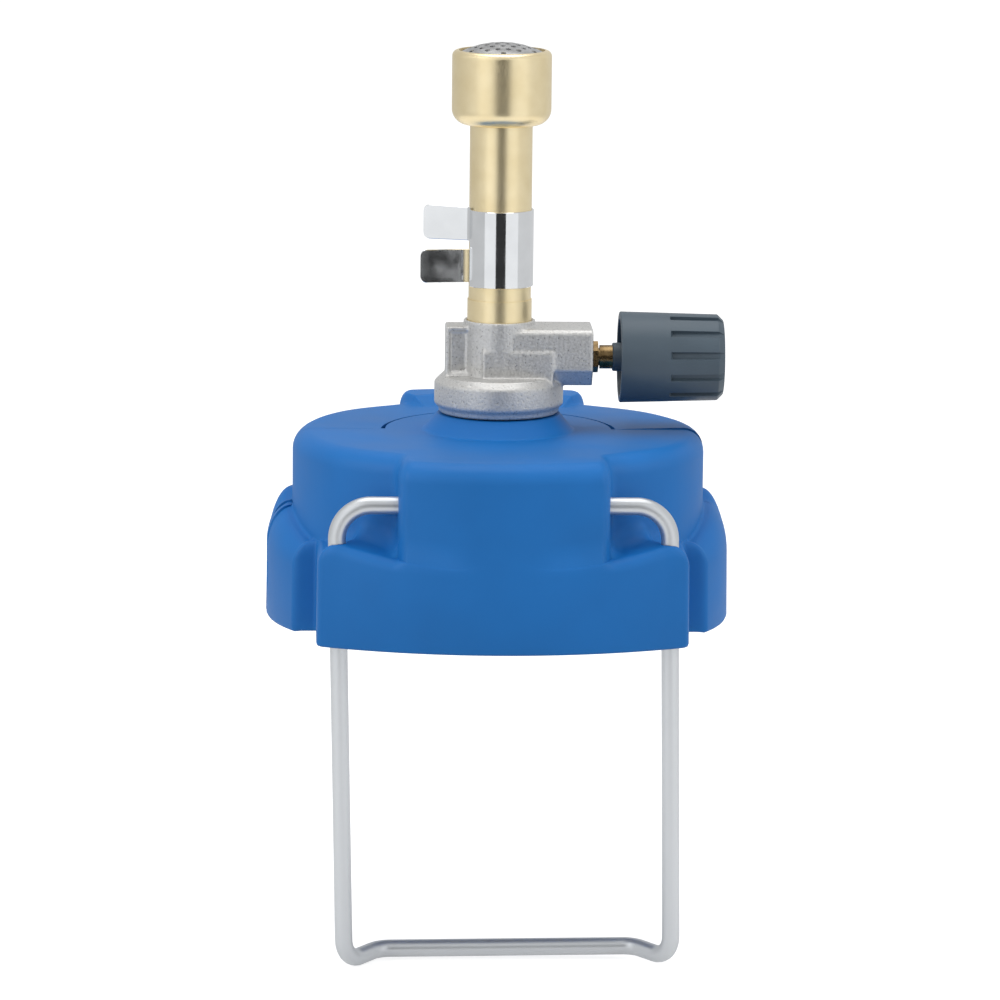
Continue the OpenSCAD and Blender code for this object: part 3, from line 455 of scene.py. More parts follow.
def zinc_wire(colours):
    """Drawn and zinc-plated wire: streaks along it, small dull spots."""
    f = Finish("zinc_wire", metallic=1.0)
    streaks = f.effect("Grain", grain_group, f.stretched((1.0, 1.0, 0.12)), Grain_Size=0.5, Patch_Size=5.0)
    grain = f.effect("Grain", grain_group, Grain_Size=0.5, Patch_Size=4.0)
    f.mottle(grain["Patches"], colours.wire, 0.7)
    f.set("Roughness", f.between(streaks["Patches"], 0.2, 0.46))
    f.bump(grain["Height"], 0.012, f.bump(streaks["Height"], 0.035))
    return f.material


def bright_plate(colours):
    """Bright plated sheet with faint handling haze."""
    return grained("bright_plate", colours.plate, 0.93, grain=0.4, patch=6.0, gloss=(0.05, 0.14), depth=0.001,
                   metallic=1.0)


def knob_plastic(colours):
    """Hard moulded plastic with a fine satin grain."""
    return grained("knob_plastic", colours.knob, 0.85, grain=0.35, patch=12.0, gloss=(0.4, 0.5), depth=0.004,
                   IOR=1.48)


def plain_steel(colours):
    """Plain steel: fine grain and slow changes of gloss."""
    return grained("plain_steel", colours.steel, 0.8, grain=0.2, patch=3.0, gloss=(0.28, 0.42), depth=0.003,
                   metallic=1.0)


def black_rubber(colours):
    """Moulded nitrile rubber with a faint bloom."""
    return grained("black_rubber", colours.rubber, (0.4, 0.4, 0.42), grain=0.3, patch=2.0, gloss=(0.6, 0.8),
                   depth=0.006)


FINISHES = {
    "shell": shell_plastic, "casting": cast_zinc, "brass": turned_brass, "zinc_wire": zinc_wire,
    "chromed_sheet": bright_plate, "knob": knob_plastic, "steel": plain_steel, "grid_steel": plain_steel,
    "rubber": black_rubber, "aged_brass": aged_brass,
}


def finish_of(slot):
    """The material for a slot of the record, or for the darker brown brass, made once."""
    builder = FINISHES[slot]
    return bpy.data.materials.get(builder.__name__) or builder(bpy.context.scene.burner_colours)


# ---------- Sizes and colours ----------

def length(name, mm, text):
    """A length that a user may change, given in millimetres and kept in metres."""
    return bpy.props.FloatProperty(name=name, description=text, default=mm * MM, min=0.0, precision=5,
                                   subtype="DISTANCE", unit="LENGTH")


def angle(name, degrees, text):
    """An angle that a user may change, given in degrees and kept in radians."""
    return bpy.props.FloatProperty(name=name, description=text, default=math.radians(degrees), precision=2,
                                   subtype="ANGLE", unit="ROTATION")


def colour(name, default, text):
    """A linear colour that a user may change."""
    return bpy.props.FloatVectorProperty(name=name, description=text, default=(*default, 1.0), size=4,
                                         min=0.0, max=1.0, subtype="COLOR")


def plain(group):
    """A group's settings as plain numbers: lengths in millimetres, angles in degrees, the rest as they are."""
    kinds = group.bl_rna.properties
    units = {"LENGTH": lambda value: round(value / MM, 4), "ROTATION": lambda value: round(math.degrees(value), 4)}
    values = {key: getattr(group, key) for key in type(group).__annotations__}
    return SimpleNamespace(**{key: units.get(kinds[key].unit, lambda value: value)(value)
                              for key, value in values.items()})


class BurnerShellSizes(bpy.types.PropertyGroup):
    """Sizes of the moulded cap's two shells"""

    hinge_x: length("Hinge distance", 55.0, "Distance of the rear shell's hinge to the left of the axis")
    barrel_r: length("Barrel radius", 4.55, "Radius of the hinge's barrels")
    relief_r: length("Relief radius", 4.8, "Radius of the front shell's relief round the barrels")
    pin_r: length("Pin bore", 1.6, "Radius of the bore for the hinge pin")
    knuckle_z: length("Knuckle foot", 7.0, "Height of the knuckle's lower end")
    knuckle_top: length("Knuckle head", 14.0, "Height of the knuckle's upper end")
    knuckle_gap: length("Knuckle gap", 0.3, "Gap between the knuckle and a barrel")
    crown_r: length("Crown radius", 52.0, "Radius of the crown")
    crown_z: length("Crown height", 47.5, "Height of the crown's flat top")
    crown_edge: length("Crown edge", 5.0, "Rounding of the crown's upper edge")
    flat_r: length("Flat radius", 60.0, "Radius of the flatter stretch of the crown beside a block")
    flat_offset: length("Flat offset", 12.0, "Distance of that stretch's centre from the axis")
    block_w: length("Block half width", 26.0, "Half width of the front and rear blocks")
    rear_block_w: length("Rear block half width", 24.2, "Half width of the rear block")
    block_y: length("Block face", 56.0, "Distance of a block's face from the axis")
    block_bow: length("Block bow", 90.0, "Radius of a block's bowed face")
    block_corner: length("Block corner", 5.5, "Width over which a block's upright corners round off")
    block_fillet: length("Block fillet", 4.0, "Width over which a block's sides flow into the crown")
    panel_w: length("Panel half width", 46.0, "Half width of the panels below the blocks")
    panel_y: length("Panel face", 57.5, "Distance of a panel's face from the axis")
    panel_bow: length("Panel bow", 102.0, "Radius of a panel's bowed face")
    panel_z: length("Panel height", 27.3, "Height of a panel's top at its ends")
    panel_dip: length("Panel dip", 6.0, "How much lower that top lies at the middle")
    panel_arch: length("Panel arch", 4.5, "Rounding of a panel's upper corners, seen from the front")
    panel_edge: length("Panel edge", 3.2, "Rounding of a panel's upper edge")
    deck_fillet: length("Deck fillet", 5.0, "Rounding where the deck meets the upper wall")
    lobe_r: length("Lobe reach", 58.6, "Distance of a side lobe's middle from the axis")
    lobe_bow: length("Lobe bow", 50.5, "Radius of the side lobes in plan")
    lobe_half: length("Lobe half breadth", 25.5, "Half of a side lobe's breadth from front to rear")
    lobe_z: length("Lobe height", 29.0, "Height of a lobe's shoulder at the middle")
    lobe_fall: length("Lobe fall", 6.4, "Fall of the shoulder towards its ends")
    lobe_edge: length("Lobe edge", 6.0, "Breadth of the rounding of a lobe's shoulder")
    lobe_side_z: length("Lobe side", 17.0, "Height where that rounding begins")
    rear_rise: length("Rear rise", 2.5, "How much higher the rear shell's shoulders stand")
    block_rise: length("Rear block rise", 2.2, "How much the rear block's top stands over the crown")
    foot_z: length("Panel foot", 0.6, "Height of a panel's lower edge over the rim")
    wall: length("Wall", 2.5, "Wall of the shells")
    roof: length("Roof", 3.0, "Thickness of the crown's top")
    socket_r: length("Socket radius", 46.0, "Radius of the cartridge socket")
    ledge: length("Ledge", 1.5, "Width of the ledge at the socket's end")
    seat_z: length("Seat depth", 9.4, "Height of that ledge above the lower rim")
    hollow_z: length("Hollow depth", 20.0, "Height where the socket opens into the crown")
    sleeve: length("Sleeve", 2.8, "Wall of the sleeve round the socket")
    disc_r: length("Disc radius", 28.6, "Radius of the front shell's central disc")
    slot: length("Arc slot", 0.5, "Width of the slot behind the disc")
    gap: length("Joint gap", 0.1, "Half of the joint between the shells")
    wedge: length("Joint wedge", 1.1, "How much the joint widens towards the crown's edge on the right")
    wedge_lift: length("Joint lift", 0.45, "How much the rear shell stands proud at that edge")
    cone_foot: length("Cone foot", 19.0, "Radius of the cone's foot")
    cone_top: length("Cone top", 15.5, "Radius of the cone's top")
    cone_z: length("Cone height", 51.8, "Height of the cone's top")
    hub_r: length("Hub radius", 15.0, "Radius of the hub under the crown")
    hub_z: length("Hub end", 29.0, "Height of the hub's lower end")
    bush_r: length("Bush radius", 11.03, "Radius of the hub's bore")
    ring_r: length("Ring radius", 13.23, "Radius of the recess for the bush's ring")
    ring_t: length("Ring depth", 1.2, "Depth of that recess")


class BurnerBailSizes(bpy.types.PropertyGroup):
    """Sizes of the wire bail"""

    wire_r: length("Wire radius", 2.2, "Radius of the wire")
    pivot_y: length("Pivot distance", 44.6, "Distance of the pivot in front of the axis")
    pivot_z: length("Pivot height", 35.8, "Height of the pivot")
    leg_x: length("Leg distance", 41.0, "Half of the distance between the legs")
    leg_len: length("Leg length", 117.7, "Length below the pivot")
    skew_x: length("Sideways skew", 2.4, "How far the crossbar lies to the right")
    skew_z: length("Upward skew", 0.5, "Rise of the crossbar's right end over its middle")
    skew_from: length("Skew start", 14.0, "Depth below the pivot where the skew begins")
    lean_deg: angle("Lean", 4.0, "Lean of the legs")
    top_bend: length("Upper bend", 8.5, "Centre-line radius of the upper bends")
    foot_bend: length("Lower bend", 6.0, "Centre-line radius of the lower bends")
    foot_back: length("Foot depth", 10.5, "How far the crossbar lies behind the legs")
    foot_deg: angle("Foot angle", 50.0, "Angle of the feet")
    end_x: length("End distance", 14.0, "Distance of the wire's hidden ends from the middle")
    slot_room: length("Slot room", 0.25, "Room round a leg in its slot")
    swing: length("Slot travel", 4.5, "Length of the slot behind a leg")


class BurnerKnobSizes(bpy.types.PropertyGroup):
    """Sizes of the control knob"""

    x: length("Inner end", 30.4, "Distance of the knob's inner end from the axis")
    z: length("Height", 66.1, "Height of the knob's axis")
    len: length("Length", 26.2, "Length of the knob")
    r: length("Radius", 11.5, "Radius at the inner end")
    taper: length("Taper", 0.6, "How much thinner the outer end is")
    edge: length("Edge", 1.5, "Chamfer of the outer end")
    wall: length("Wall", 1.8, "Wall of the skirt")
    hollow: length("Hollow", 9.0, "Depth of the hollow round the hub")
    hub_r: length("Hub radius", 3.6, "Radius of the hub")
    hub_out: length("Hub reach", 1.8, "How far the hub stands out")
    bore_r: length("Bore", 2.6, "Radius of the hub's bore")
    dish_r: length("Dish radius", 3.0, "Radius of the shallow dish in the outer end")
    dish: length("Dish depth", 0.3, "Depth of that dish")
    grooves: bpy.props.IntProperty(name="Grooves", description="Number of grip grooves", default=12, min=1)
    groove_len: length("Groove length", 13.4, "Length of a groove")
    groove_depth: length("Groove depth", 0.75, "Depth of a groove at the outer end")
    phase_deg: angle("Phase", 10.2, "Turn of the grooves")


class BurnerCollarSizes(bpy.types.PropertyGroup):
    """Sizes of the air collar"""

    r: length("Radius", 8.17, "Radius of the sheet's middle")
    t: length("Sheet", 0.5, "Thickness of the sheet")
    bevel: length("Bevel", 0.12, "Chamfer of the sheet's edges")
    z: length("Height", 84.3, "Height of the band's lower edge")
    h: length("Band height", 19.3, "Height of the band")
    front_deg: angle("Front end", 197.0, "Direction of the front end")
    open_deg: angle("Opening", 41.0, "Opening between the ends")
    lean_deg: angle("Upper lean", 17.0, "Turn of the upper tab")
    lean_low_deg: angle("Lower lean", 7.7, "Turn of the lower tab")
    bend: length("Bend", 0.8, "Length over which the sheet bends, each way")
    fillet: length("Fillet", 1.2, "Rounding between a tab and the band")
    reach: length("Upper reach", 19.3, "Reach of the upper tab")
    reach_low: length("Lower reach", 20.0, "Reach of the lower tab")
    corner: length("Corner", 1.6, "Rounding of the tabs' corners")
    up_low: length("Upper tab foot", 95.9, "Height of the upper tab's lower edge")
    up_high: length("Upper tab head", 104.2, "Height of the upper tab's upper edge at its root")
    tab_rise: length("Tab rise", 0.4, "Rise of that edge to its free end")
    down_low: length("Lower tab foot", 84.5, "Height of the lower tab's lower edge")
    down_high: length("Lower tab head", 92.9, "Height of the lower tab's upper edge")


class BurnerColours(bpy.types.PropertyGroup):
    """Base colours of the finishes"""

    shell: colour("Shell", (0.004, 0.148, 0.475), "Moulded cap")
    casting: colour("Casting", (0.63, 0.625, 0.61), "Die-cast valve body")
    rubbed: colour("Rubbed casting", (0.86, 0.86, 0.85), "Worn edges of the valve body")
    brass: colour("Brass", (0.95, 0.81, 0.52), "Turned brass")
    wire: colour("Wire", (0.9, 0.91, 0.925), "Zinc-plated wire")
    plate: colour("Plate", (0.86, 0.87, 0.88), "Bright plated sheet")
    knob: colour("Knob", (0.062, 0.092, 0.12), "Control knob")
    steel: colour("Steel", (0.56, 0.56, 0.56), "Plain steel")
    rubber: colour("Rubber", (0.03, 0.03, 0.031), "Seals")


class BurnerStageSettings(bpy.types.PropertyGroup):
    """The floor and the camera"""

    floor_z: length("Floor depth", 84.1, "How far the floor lies below the cap's rim")
    distance: length("Camera distance", 1400.0, "Distance of the camera from its target")
    pitch_deg: angle("Pitch", 10.2, "How far the camera looks down")
    yaw_deg: angle("Yaw", 2.1, "How far it stands to the left")
    roll_deg: angle("Roll", 0.6, "Turn about its own axis")
    target_z: length("Target height", 29.2, "Height that the camera looks at")
    lens_mm: bpy.props.FloatProperty(name="Lens", description="Focal length", default=198.6, min=1.0,
                                     subtype="DISTANCE_CAMERA", unit="CAMERA")


# ---------- The cap's two shells ----------

# Blends and allowances of the cap's outlines, in millimetres
FLAT_BLEND = 1.0  # from the crown's circle to its flatter stretches
END_BLEND = 1.6  # at the square ends of lobes and panels
SKIRT_BLEND = 0.8  # where a lobe meets a panel
SKIRT_MARGIN = 0.15  # how far the skirt stays outside the upper wall
ANGLE_SPACING = 0.5  # between sections, along the outlines


def bowed(theta, face, bow):
    """Distance along a ray to a circle of radius bow whose near point on the y axis lies at face: with the centre
    c = bow - face behind the axis, it is -c|sin| + sqrt(bow^2 - c^2 cos^2)."""
    c = bow - face
    return -c * np.abs(np.sin(theta)) + np.sqrt(bow ** 2 - (c * np.cos(theta)) ** 2)


def crown_outline(theta, s):
    """Polar radius of the crown: its circle, cut in softly by the flatter stretches beside the blocks."""
    flat = bowed(theta, s.flat_r - s.flat_offset, s.flat_r)
    return soft_min(np.full_like(theta, s.crown_r), flat, FLAT_BLEND)


def upper_outline(theta, s):
    """Polar radius of the upper wall: the crown with the blocks' rounded rectangles flowing out of it."""
    half = s.block_w - (s.block_w - s.rear_block_w) * (np.sin(theta) > 0)
    side = half / np.maximum(np.abs(np.cos(theta)), TINY)
    block = soft_min(side, bowed(theta, s.block_y, s.block_bow), s.block_corner)
    return soft_max(crown_outline(theta, s), block, s.block_fillet)


def lobe_arc(theta, s):
    """Distance along a ray to a side lobe's arc, of radius lobe_bow, its far point at lobe_r on the x axis."""
    return bowed(theta + math.pi / 2, s.lobe_r, s.lobe_bow)


def lower_outline(theta, s):
    """Polar radius of the skirt: the side lobes' arcs with square ends, and the bowed panels with square ends."""
    sin, cos = np.maximum(np.abs(np.sin(theta)), TINY), np.maximum(np.abs(np.cos(theta)), TINY)
    lobe = soft_min(lobe_arc(theta, s), s.lobe_half / sin, END_BLEND)
    panel = soft_min(s.panel_w / cos, bowed(theta, s.panel_y, s.panel_bow), END_BLEND)
    return np.maximum(soft_max(lobe, panel, SKIRT_BLEND), upper_outline(theta, s) + SKIRT_MARGIN)


def skin_angles(start, end, s):
    """Angles for a shell's sections, spaced evenly along its skirt and its upper wall."""
    return even_angles(start, end, ANGLE_SPACING, partial(lower_outline, s=s), partial(upper_outline, s=s))


def stations(theta, r, z):
    """The point (r, z) of each angle's section, from one value for all or one for each angle."""
    return np.stack(np.broadcast_arrays(np.asarray(r, float), np.asarray(z, float), theta), axis=-1)[..., :2]


# The outer section's smaller forms, in millimetres; a pair is the stretch over which a form comes in or fades
LOBE_END = 0.8  # half of the step between a lobe and a panel
REAR_LIFT_RUN = (0.0, 8.0)  # from the joint, where the rear lobes' extra height comes in
FALL_POWER, REAR_FALL_POWER = 1.15, 4.0  # of the share of a lobe's breadth by which its shoulder falls
ARCH_SHARE = 0.95  # of a full quarter round at a panel's upper corners
DRAFT = 0.2  # how much the skirt leans inwards
PANEL_DRAFT, PANEL_DRAFT_RUN = 0.9, (40.0, 47.0)  # how much more a panel does, fading at its ends
EDGE_THINNING, EDGE_THINNING_RUN = 1.0, (32.0, 40.0)  # of a panel's upper edge towards its ends
EDGE_SHARE = 0.9  # the most of the deck's breadth that the edge takes
SLOPE_RUN = (0.0, 20.0)  # from a panel's middle, where its edge turns into one long slope
SLOPE_POWER, SLOPE_DROP, SLOPE_CLIMB = 1.5, 2.0, 6.0
FLARE, FLARE_RUN = 6.0, (-1.0, 7.0)  # how much higher the deck runs up beside a block, from the block's side
WALL_STEP, JOIN_STEP = 0.05, 0.4  # the least steps inwards and upwards between the deck and the upper wall
BLOCK_TOP_RUN = (1.0, 4.0)  # past the crown's outline, where the rear block's extra height comes in
BLOCK_TOP_R, CROWN_FLAT_R, TOP_FILLET = 44.5, 38.5, 6.0
FOOT_R, FOOT_Z = (-0.9, -0.3, 0.0), (0.0, 0.25, 0.9)  # rounding of the skirt's outer lower edge
EDGE_STEPS, CORNER_STEPS = 13, 9
# The shares of the sides before and after each corner that its arc may take
CORNER_SHARES = (None, (0.9, 0.3), (0.4, 0.92), (0.07, 0.45), (0.45, 0.3), None)


def shell_outside(theta, s, rise, inner_r):
    """For each angle, the outer half of the wall's section, from the skirt's inner lower edge to inner_r.

    Over the skirt comes a quarter ellipse, then the deck's slope to the upper wall; its heights follow the lobes,
    which fall towards their ends, and the panels, which dip to the middle. In a panel's middle the ellipse turns
    into one long slope. In the rear, rise lifts the lobes' middle and the block's top a little.
    """
    at = partial(stations, theta)
    upper, lower, crown = upper_outline(theta, s), lower_outline(theta, s), crown_outline(theta, s)
    x, y = lower * np.abs(np.cos(theta)), lower * np.abs(np.sin(theta))
    beside = ease(s.lobe_half - LOBE_END, s.lobe_half + LOBE_END, y)
    lift = rise * ease(*REAR_LIFT_RUN, y)
    fall = np.clip(y / s.lobe_half, 0, 1) ** (REAR_FALL_POWER if rise else FALL_POWER)
    lobe_z = s.lobe_z + lift - (s.lobe_fall + lift) * fall
    arch = np.clip(x - s.panel_w + s.panel_arch, 0, s.panel_arch)
    panel_z = (s.panel_z - s.panel_dip * (1 - np.clip(x / s.panel_w, 0, 1) ** 2)
               - s.panel_arch + np.sqrt(s.panel_arch ** 2 - ARCH_SHARE * arch ** 2))
    deck_z = lobe_z + (panel_z - lobe_z) * beside
    skirt_z = s.lobe_side_z + (panel_z - s.panel_edge - s.lobe_side_z) * beside
    top = lower - (DRAFT + PANEL_DRAFT * beside * (1 - ease(*PANEL_DRAFT_RUN, x)))
    edge = s.panel_edge - EDGE_THINNING * ease(*EDGE_THINNING_RUN, x)
    most = EDGE_SHARE * np.maximum(top - upper, WALL_STEP)
    reach = np.minimum(s.lobe_edge + (edge - s.lobe_edge) * beside, most)
    flare = FLARE * (1 - ease(s.block_w + FLARE_RUN[0], s.block_w + FLARE_RUN[1], x)) * beside

    turn, along = np.linspace(0, math.pi / 2, EDGE_STEPS)[None, :], np.linspace(0, 1, EDGE_STEPS)[None, :]
    edge_r = (top - reach)[:, None] + reach[:, None] * np.cos(turn)
    edge_z = skirt_z[:, None] + (deck_z - skirt_z)[:, None] * np.sin(turn)
    slope_r = top[:, None] + (upper + WALL_STEP - top)[:, None] * along ** SLOPE_POWER
    slope_z = skirt_z[:, None] - SLOPE_DROP + (deck_z + SLOPE_CLIMB - skirt_z)[:, None] * along
    slope_share = ((1 - ease(*SLOPE_RUN, x)) ** 3 * beside)[:, None]
    edge_r = edge_r + (slope_r - edge_r) * slope_share
    edge_z = edge_z + (slope_z - edge_z) * slope_share

    foot = np.stack(np.broadcast_arrays(lower[:, None] + np.array([[-s.wall, *FOOT_R]]),
                                        s.foot_z * beside[:, None] + np.array([[0.0, *FOOT_Z]])), axis=-1)
    start = np.maximum(edge_r[:, -1], upper + WALL_STEP)
    join_z = np.maximum(deck_z + JOIN_STEP + flare, edge_z[:, -1] + JOIN_STEP)
    block_z = s.crown_z + s.block_rise * (rise > 0) * ease(*BLOCK_TOP_RUN, upper - crown)
    corners = [at(start, edge_z[:, -1]), at(upper, join_z), at(upper, block_z), at(BLOCK_TOP_R, block_z),
               at(CROWN_FLAT_R, s.crown_z), at(inner_r, s.crown_z)]
    radii = [None, s.deck_fillet, np.full_like(theta, s.crown_edge), TOP_FILLET, TOP_FILLET, None]
    path = rounded_path(corners, radii, CORNER_STEPS, CORNER_SHARES)
    path = np.concatenate([foot, np.stack([edge_r, edge_z], axis=-1)[:, :-1], path], axis=1)
    return path, upper, lower, np.minimum(deck_z, join_z)


# Allowances of the inner section, in millimetres
WEB_GAP = 0.3  # between the web over the sleeve and the skirt's inside
SOCKET_CHAMFER = 0.8
DECK_INSIDE = 1.0  # how much lower the skirt's inside ends than the deck's


def shell_inside(theta, s, inner_r, upper, lower, deck):
    """For each angle, the inner half of the section: under the roof, down the crown's wall to the socket with its
    ledge, round the sleeve and up inside the skirt."""
    at = partial(stations, theta)
    sleeve_r, roof = s.socket_r + s.sleeve, s.crown_z - s.roof
    web = np.minimum(upper, lower - s.wall - WEB_GAP)
    corners = [at(inner_r, roof), at(upper - s.wall, roof), at(upper - s.wall, s.hollow_z),
               at(s.socket_r - s.ledge, s.hollow_z), at(s.socket_r - s.ledge, s.seat_z), at(s.socket_r, s.seat_z),
               at(s.socket_r, SOCKET_CHAMFER), at(s.socket_r + SOCKET_CHAMFER, 0.0), at(sleeve_r, 0.0),
               at(sleeve_r, s.hollow_z - s.wall), at(web, s.hollow_z - s.wall), at(web, deck - s.wall),
               at(lower - s.wall, deck - s.wall - DECK_INSIDE)]
    return np.stack(corners, axis=1)


CONE_FILLET, CONE_EDGE = 1.5, 0.5
DISC_STEPS = 97


def disc_section(s):
    """Section of the central disc: flat top, fillet, cone, the ring's recess, the hub's bore and its outside."""
    roof = s.crown_z - s.roof
    ring_z = s.cone_z - s.ring_t
    corners = [(s.disc_r, s.crown_z), (s.cone_foot, s.crown_z), (s.cone_top, s.cone_z), (s.ring_r, s.cone_z),
               (s.ring_r, ring_z), (s.bush_r, ring_z), (s.bush_r, s.hub_z), (s.hub_r, s.hub_z), (s.hub_r, roof),
               (s.disc_r, roof)]
    radii = [None, CONE_FILLET, CONE_EDGE] + [None] * 7
    return rounded_path([np.array(c) for c in corners], radii, CORNER_STEPS)


def front_skin(s):
    """The front shell: its section, with the disc's in it, is carried through the front half turn, the disc's
    alone through the rear one, and flat faces close the joint."""
    theta = skin_angles(-math.pi, 0.0, s)
    outside, upper, lower, deck = shell_outside(theta, s, 0.0, s.disc_r)
    inside = shell_inside(theta, s, s.disc_r, upper, lower, deck)
    disc = disc_section(s)
    middle = np.broadcast_to(disc[1:-1], (len(theta),) + disc[1:-1].shape)
    points = turned(np.concatenate([outside, middle, inside], axis=1), theta)
    first, last, rows = outside.shape[1], outside.shape[1] + middle.shape[1], points.shape[1]
    outer_rows = np.r_[0:first - 1, last + 1:rows]
    for end in (0, -1):
        points[end, outer_rows, 1] = np.minimum(points[end, outer_rows, 1], -s.gap)
    faces = grid_faces(len(theta), rows, False, True)
    joint = list(range(first)) + list(range(last, rows))
    faces += [joint, [(len(theta) - 1) * rows + i for i in joint]]
    back = np.linspace(0.0, math.pi, DISC_STEPS)
    disc_points = turned(disc, back)
    disc_points[0], disc_points[-1] = points[-1, first - 1:last + 1], points[0, first - 1:last + 1]
    faces += grid_faces(len(back), len(disc), False, True, points.shape[0] * rows)
    everything = np.concatenate([points.reshape(-1, 3), disc_points.reshape(-1, 3)])
    return mesh_object("front_shell_skin", everything, faces, SKIN_SHARP_DEG, SKIN_WELD)


# The rear shell's slight misfit at the right-hand joint, in millimetres. A run is where a form comes in.
SLOT_WIDENING, SLOT_WIDE_TO = 0.55, 0.45  # the slot's extra width at its ends, and the angle where it is gone
WEDGE_RUN_X, WEDGE_RUN_Z = (30.0, 52.0), (24.0, 40.0)
LIFT_RUN_X, LIFT_RUN_Y, LIFT_RUN_Z = (27.0, 50.0), (0.0, 30.0), (40.0, 46.0)


def rear_skin(s):
    """The rear shell: the same section without the disc, carried through the rear half turn, with the joint's
    wedge and lift."""
    theta = skin_angles(0.0, math.pi, s)
    from_joint = np.minimum(theta, math.pi - theta)
    slot_r = s.disc_r + s.slot + SLOT_WIDENING * (1 - ease(0.0, SLOT_WIDE_TO, from_joint))
    outside, upper, lower, deck = shell_outside(theta, s, s.rear_rise, slot_r)
    inside = shell_inside(theta, s, slot_r, upper, lower, deck)
    points = turned(np.concatenate([outside, inside], axis=1), theta)
    points[0, :, 1] = s.gap + s.wedge * ease(*WEDGE_RUN_X, points[0, :, 0]) * ease(*WEDGE_RUN_Z, points[0, :, 2])
    near = ease(*LIFT_RUN_X, points[:, :, 0]) * (1 - ease(*LIFT_RUN_Y, points[:, :, 1]))
    points[:, :, 2] += s.wedge_lift * near * ease(*LIFT_RUN_Z, points[:, :, 2])
    points[-1, :, 1] = s.gap
    rows = points.shape[1]
    faces = grid_faces(len(theta), rows, False, True)
    faces += [list(range(rows)), list(range((len(theta) - 1) * rows, len(theta) * rows))]
    return mesh_object("rear_shell_skin", points, faces, SKIN_SHARP_DEG, SKIN_WELD)


SLOT_AT_Z = 25.0  # height at which the slot is centred on the leaning leg
SLOT_CUT_Z = (-4.0, 34.0)  # the cutter's lower and upper end
SLOT_END_STEPS = 17


def leg_slot(side, bail):
    """Cutter for a leg's slot: two half circles joined by straight sides, carried upwards through the deck."""
    lean = math.tan(math.radians(bail.lean_deg))
    r = bail.wire_r + bail.slot_room
    y = -bail.pivot_y + (bail.pivot_z - SLOT_AT_Z) * lean
    half = np.linspace(0, math.pi, SLOT_END_STEPS)
    outline = np.concatenate([np.stack([r * np.cos(half), bail.swing + r * np.sin(half)], -1),
                              np.stack([-r * np.cos(half), -r * np.sin(half)], -1)])
    outline += [side * bail.leg_x, y]
    count = len(outline)
    points = np.concatenate([np.broadcast_to(outline, (2, count, 2)),
                             np.broadcast_to(np.array(SLOT_CUT_Z)[:, None, None], (2, count, 1))], axis=-1)
    faces = grid_faces(2, count, False, True) + [list(range(count)), list(range(count, 2 * count))]
    return mesh_object("leg_slot", points, faces)


# The hinge's columns: numbers of sides and rings, and allowances in millimetres
COLUMN_SIDES, COLUMN_RINGS = 72, 6
COLUMN_SHARP_DEG = 40.0
TOP_INSET, SIDE_INSET = 0.5, 0.15  # how far a column stays inside the lobe's shoulder and its side
STEEPEST = 0.05  # the least cosine by which a ray's distance to the lobe's side is divided
KNUCKLE_WEB = 1.4  # how far the knuckle reaches forward past its round
BARREL_FOOT = 0.4
RELIEF_FOOT, RELIEF_OVER = -3.0, 0.3  # the relief's lower end, and how far it runs past the lobe's shoulder


def hinge_column(name, s, reach, bore, low, high):
    """A column on the hinge's axis: its radius is reach for each angle, and its top follows the lobe's edge.

    The lobe's edge is the quarter ellipse over its side. A bore leaves a tube; without one both ends are closed.
    """
    turn = np.linspace(0, 2 * math.pi, COLUMN_SIDES, endpoint=False)[:, None]
    outer = reach(turn)
    cap = outer + (bore - outer) * np.linspace(0, 1, COLUMN_RINGS)[None, :]
    r = np.concatenate([np.full_like(turn, bore), outer, cap], axis=1)
    x = r * np.cos(turn) - s.hinge_x
    depth = np.clip((x + s.lobe_r) / s.lobe_edge, 0, 1)
    shoulder = s.lobe_z - TOP_INSET - s.lobe_side_z
    z = np.full_like(x, high)
    if bore:
        z = np.minimum(high, s.lobe_side_z + shoulder * np.sqrt(1 - (1 - depth) ** 2))
    z[:, :2] = low
    faces = grid_faces(COLUMN_SIDES, COLUMN_RINGS + 2, True, bore > 0)
    return mesh_object(name, np.stack([x, r * np.sin(turn), z], axis=-1), faces, COLUMN_SHARP_DEG)


def hinge_columns(s):
    """The rear shell's two barrels and the front shell's knuckle between them.

    A barrel is round but for a flat along the lobe's side. The knuckle's radius grows by KNUCKLE_WEB times
    (1 - cos(pi f)) / 2 to its front, f being the share of the way forward, so that it reaches its wall.
    """
    def side(turn):
        return (s.lobe_r - SIDE_INSET - s.hinge_x) / np.maximum(-np.cos(turn), STEEPEST)

    def barrel(turn):
        return np.minimum(s.barrel_r, side(turn))

    def knuckle(turn):
        forward = np.clip(-np.sin(turn), 0, 1)
        return np.minimum(s.barrel_r + KNUCKLE_WEB / 2 * (1.0 - np.cos(forward * math.pi)), side(turn))

    return (hinge_column("lower_barrel", s, barrel, s.pin_r, BARREL_FOOT, s.knuckle_z - s.knuckle_gap),
            hinge_column("upper_barrel", s, barrel, s.pin_r, s.knuckle_top + s.knuckle_gap, s.lobe_z),
            hinge_column("front_knuckle", s, knuckle, s.pin_r, s.knuckle_z, s.knuckle_top))


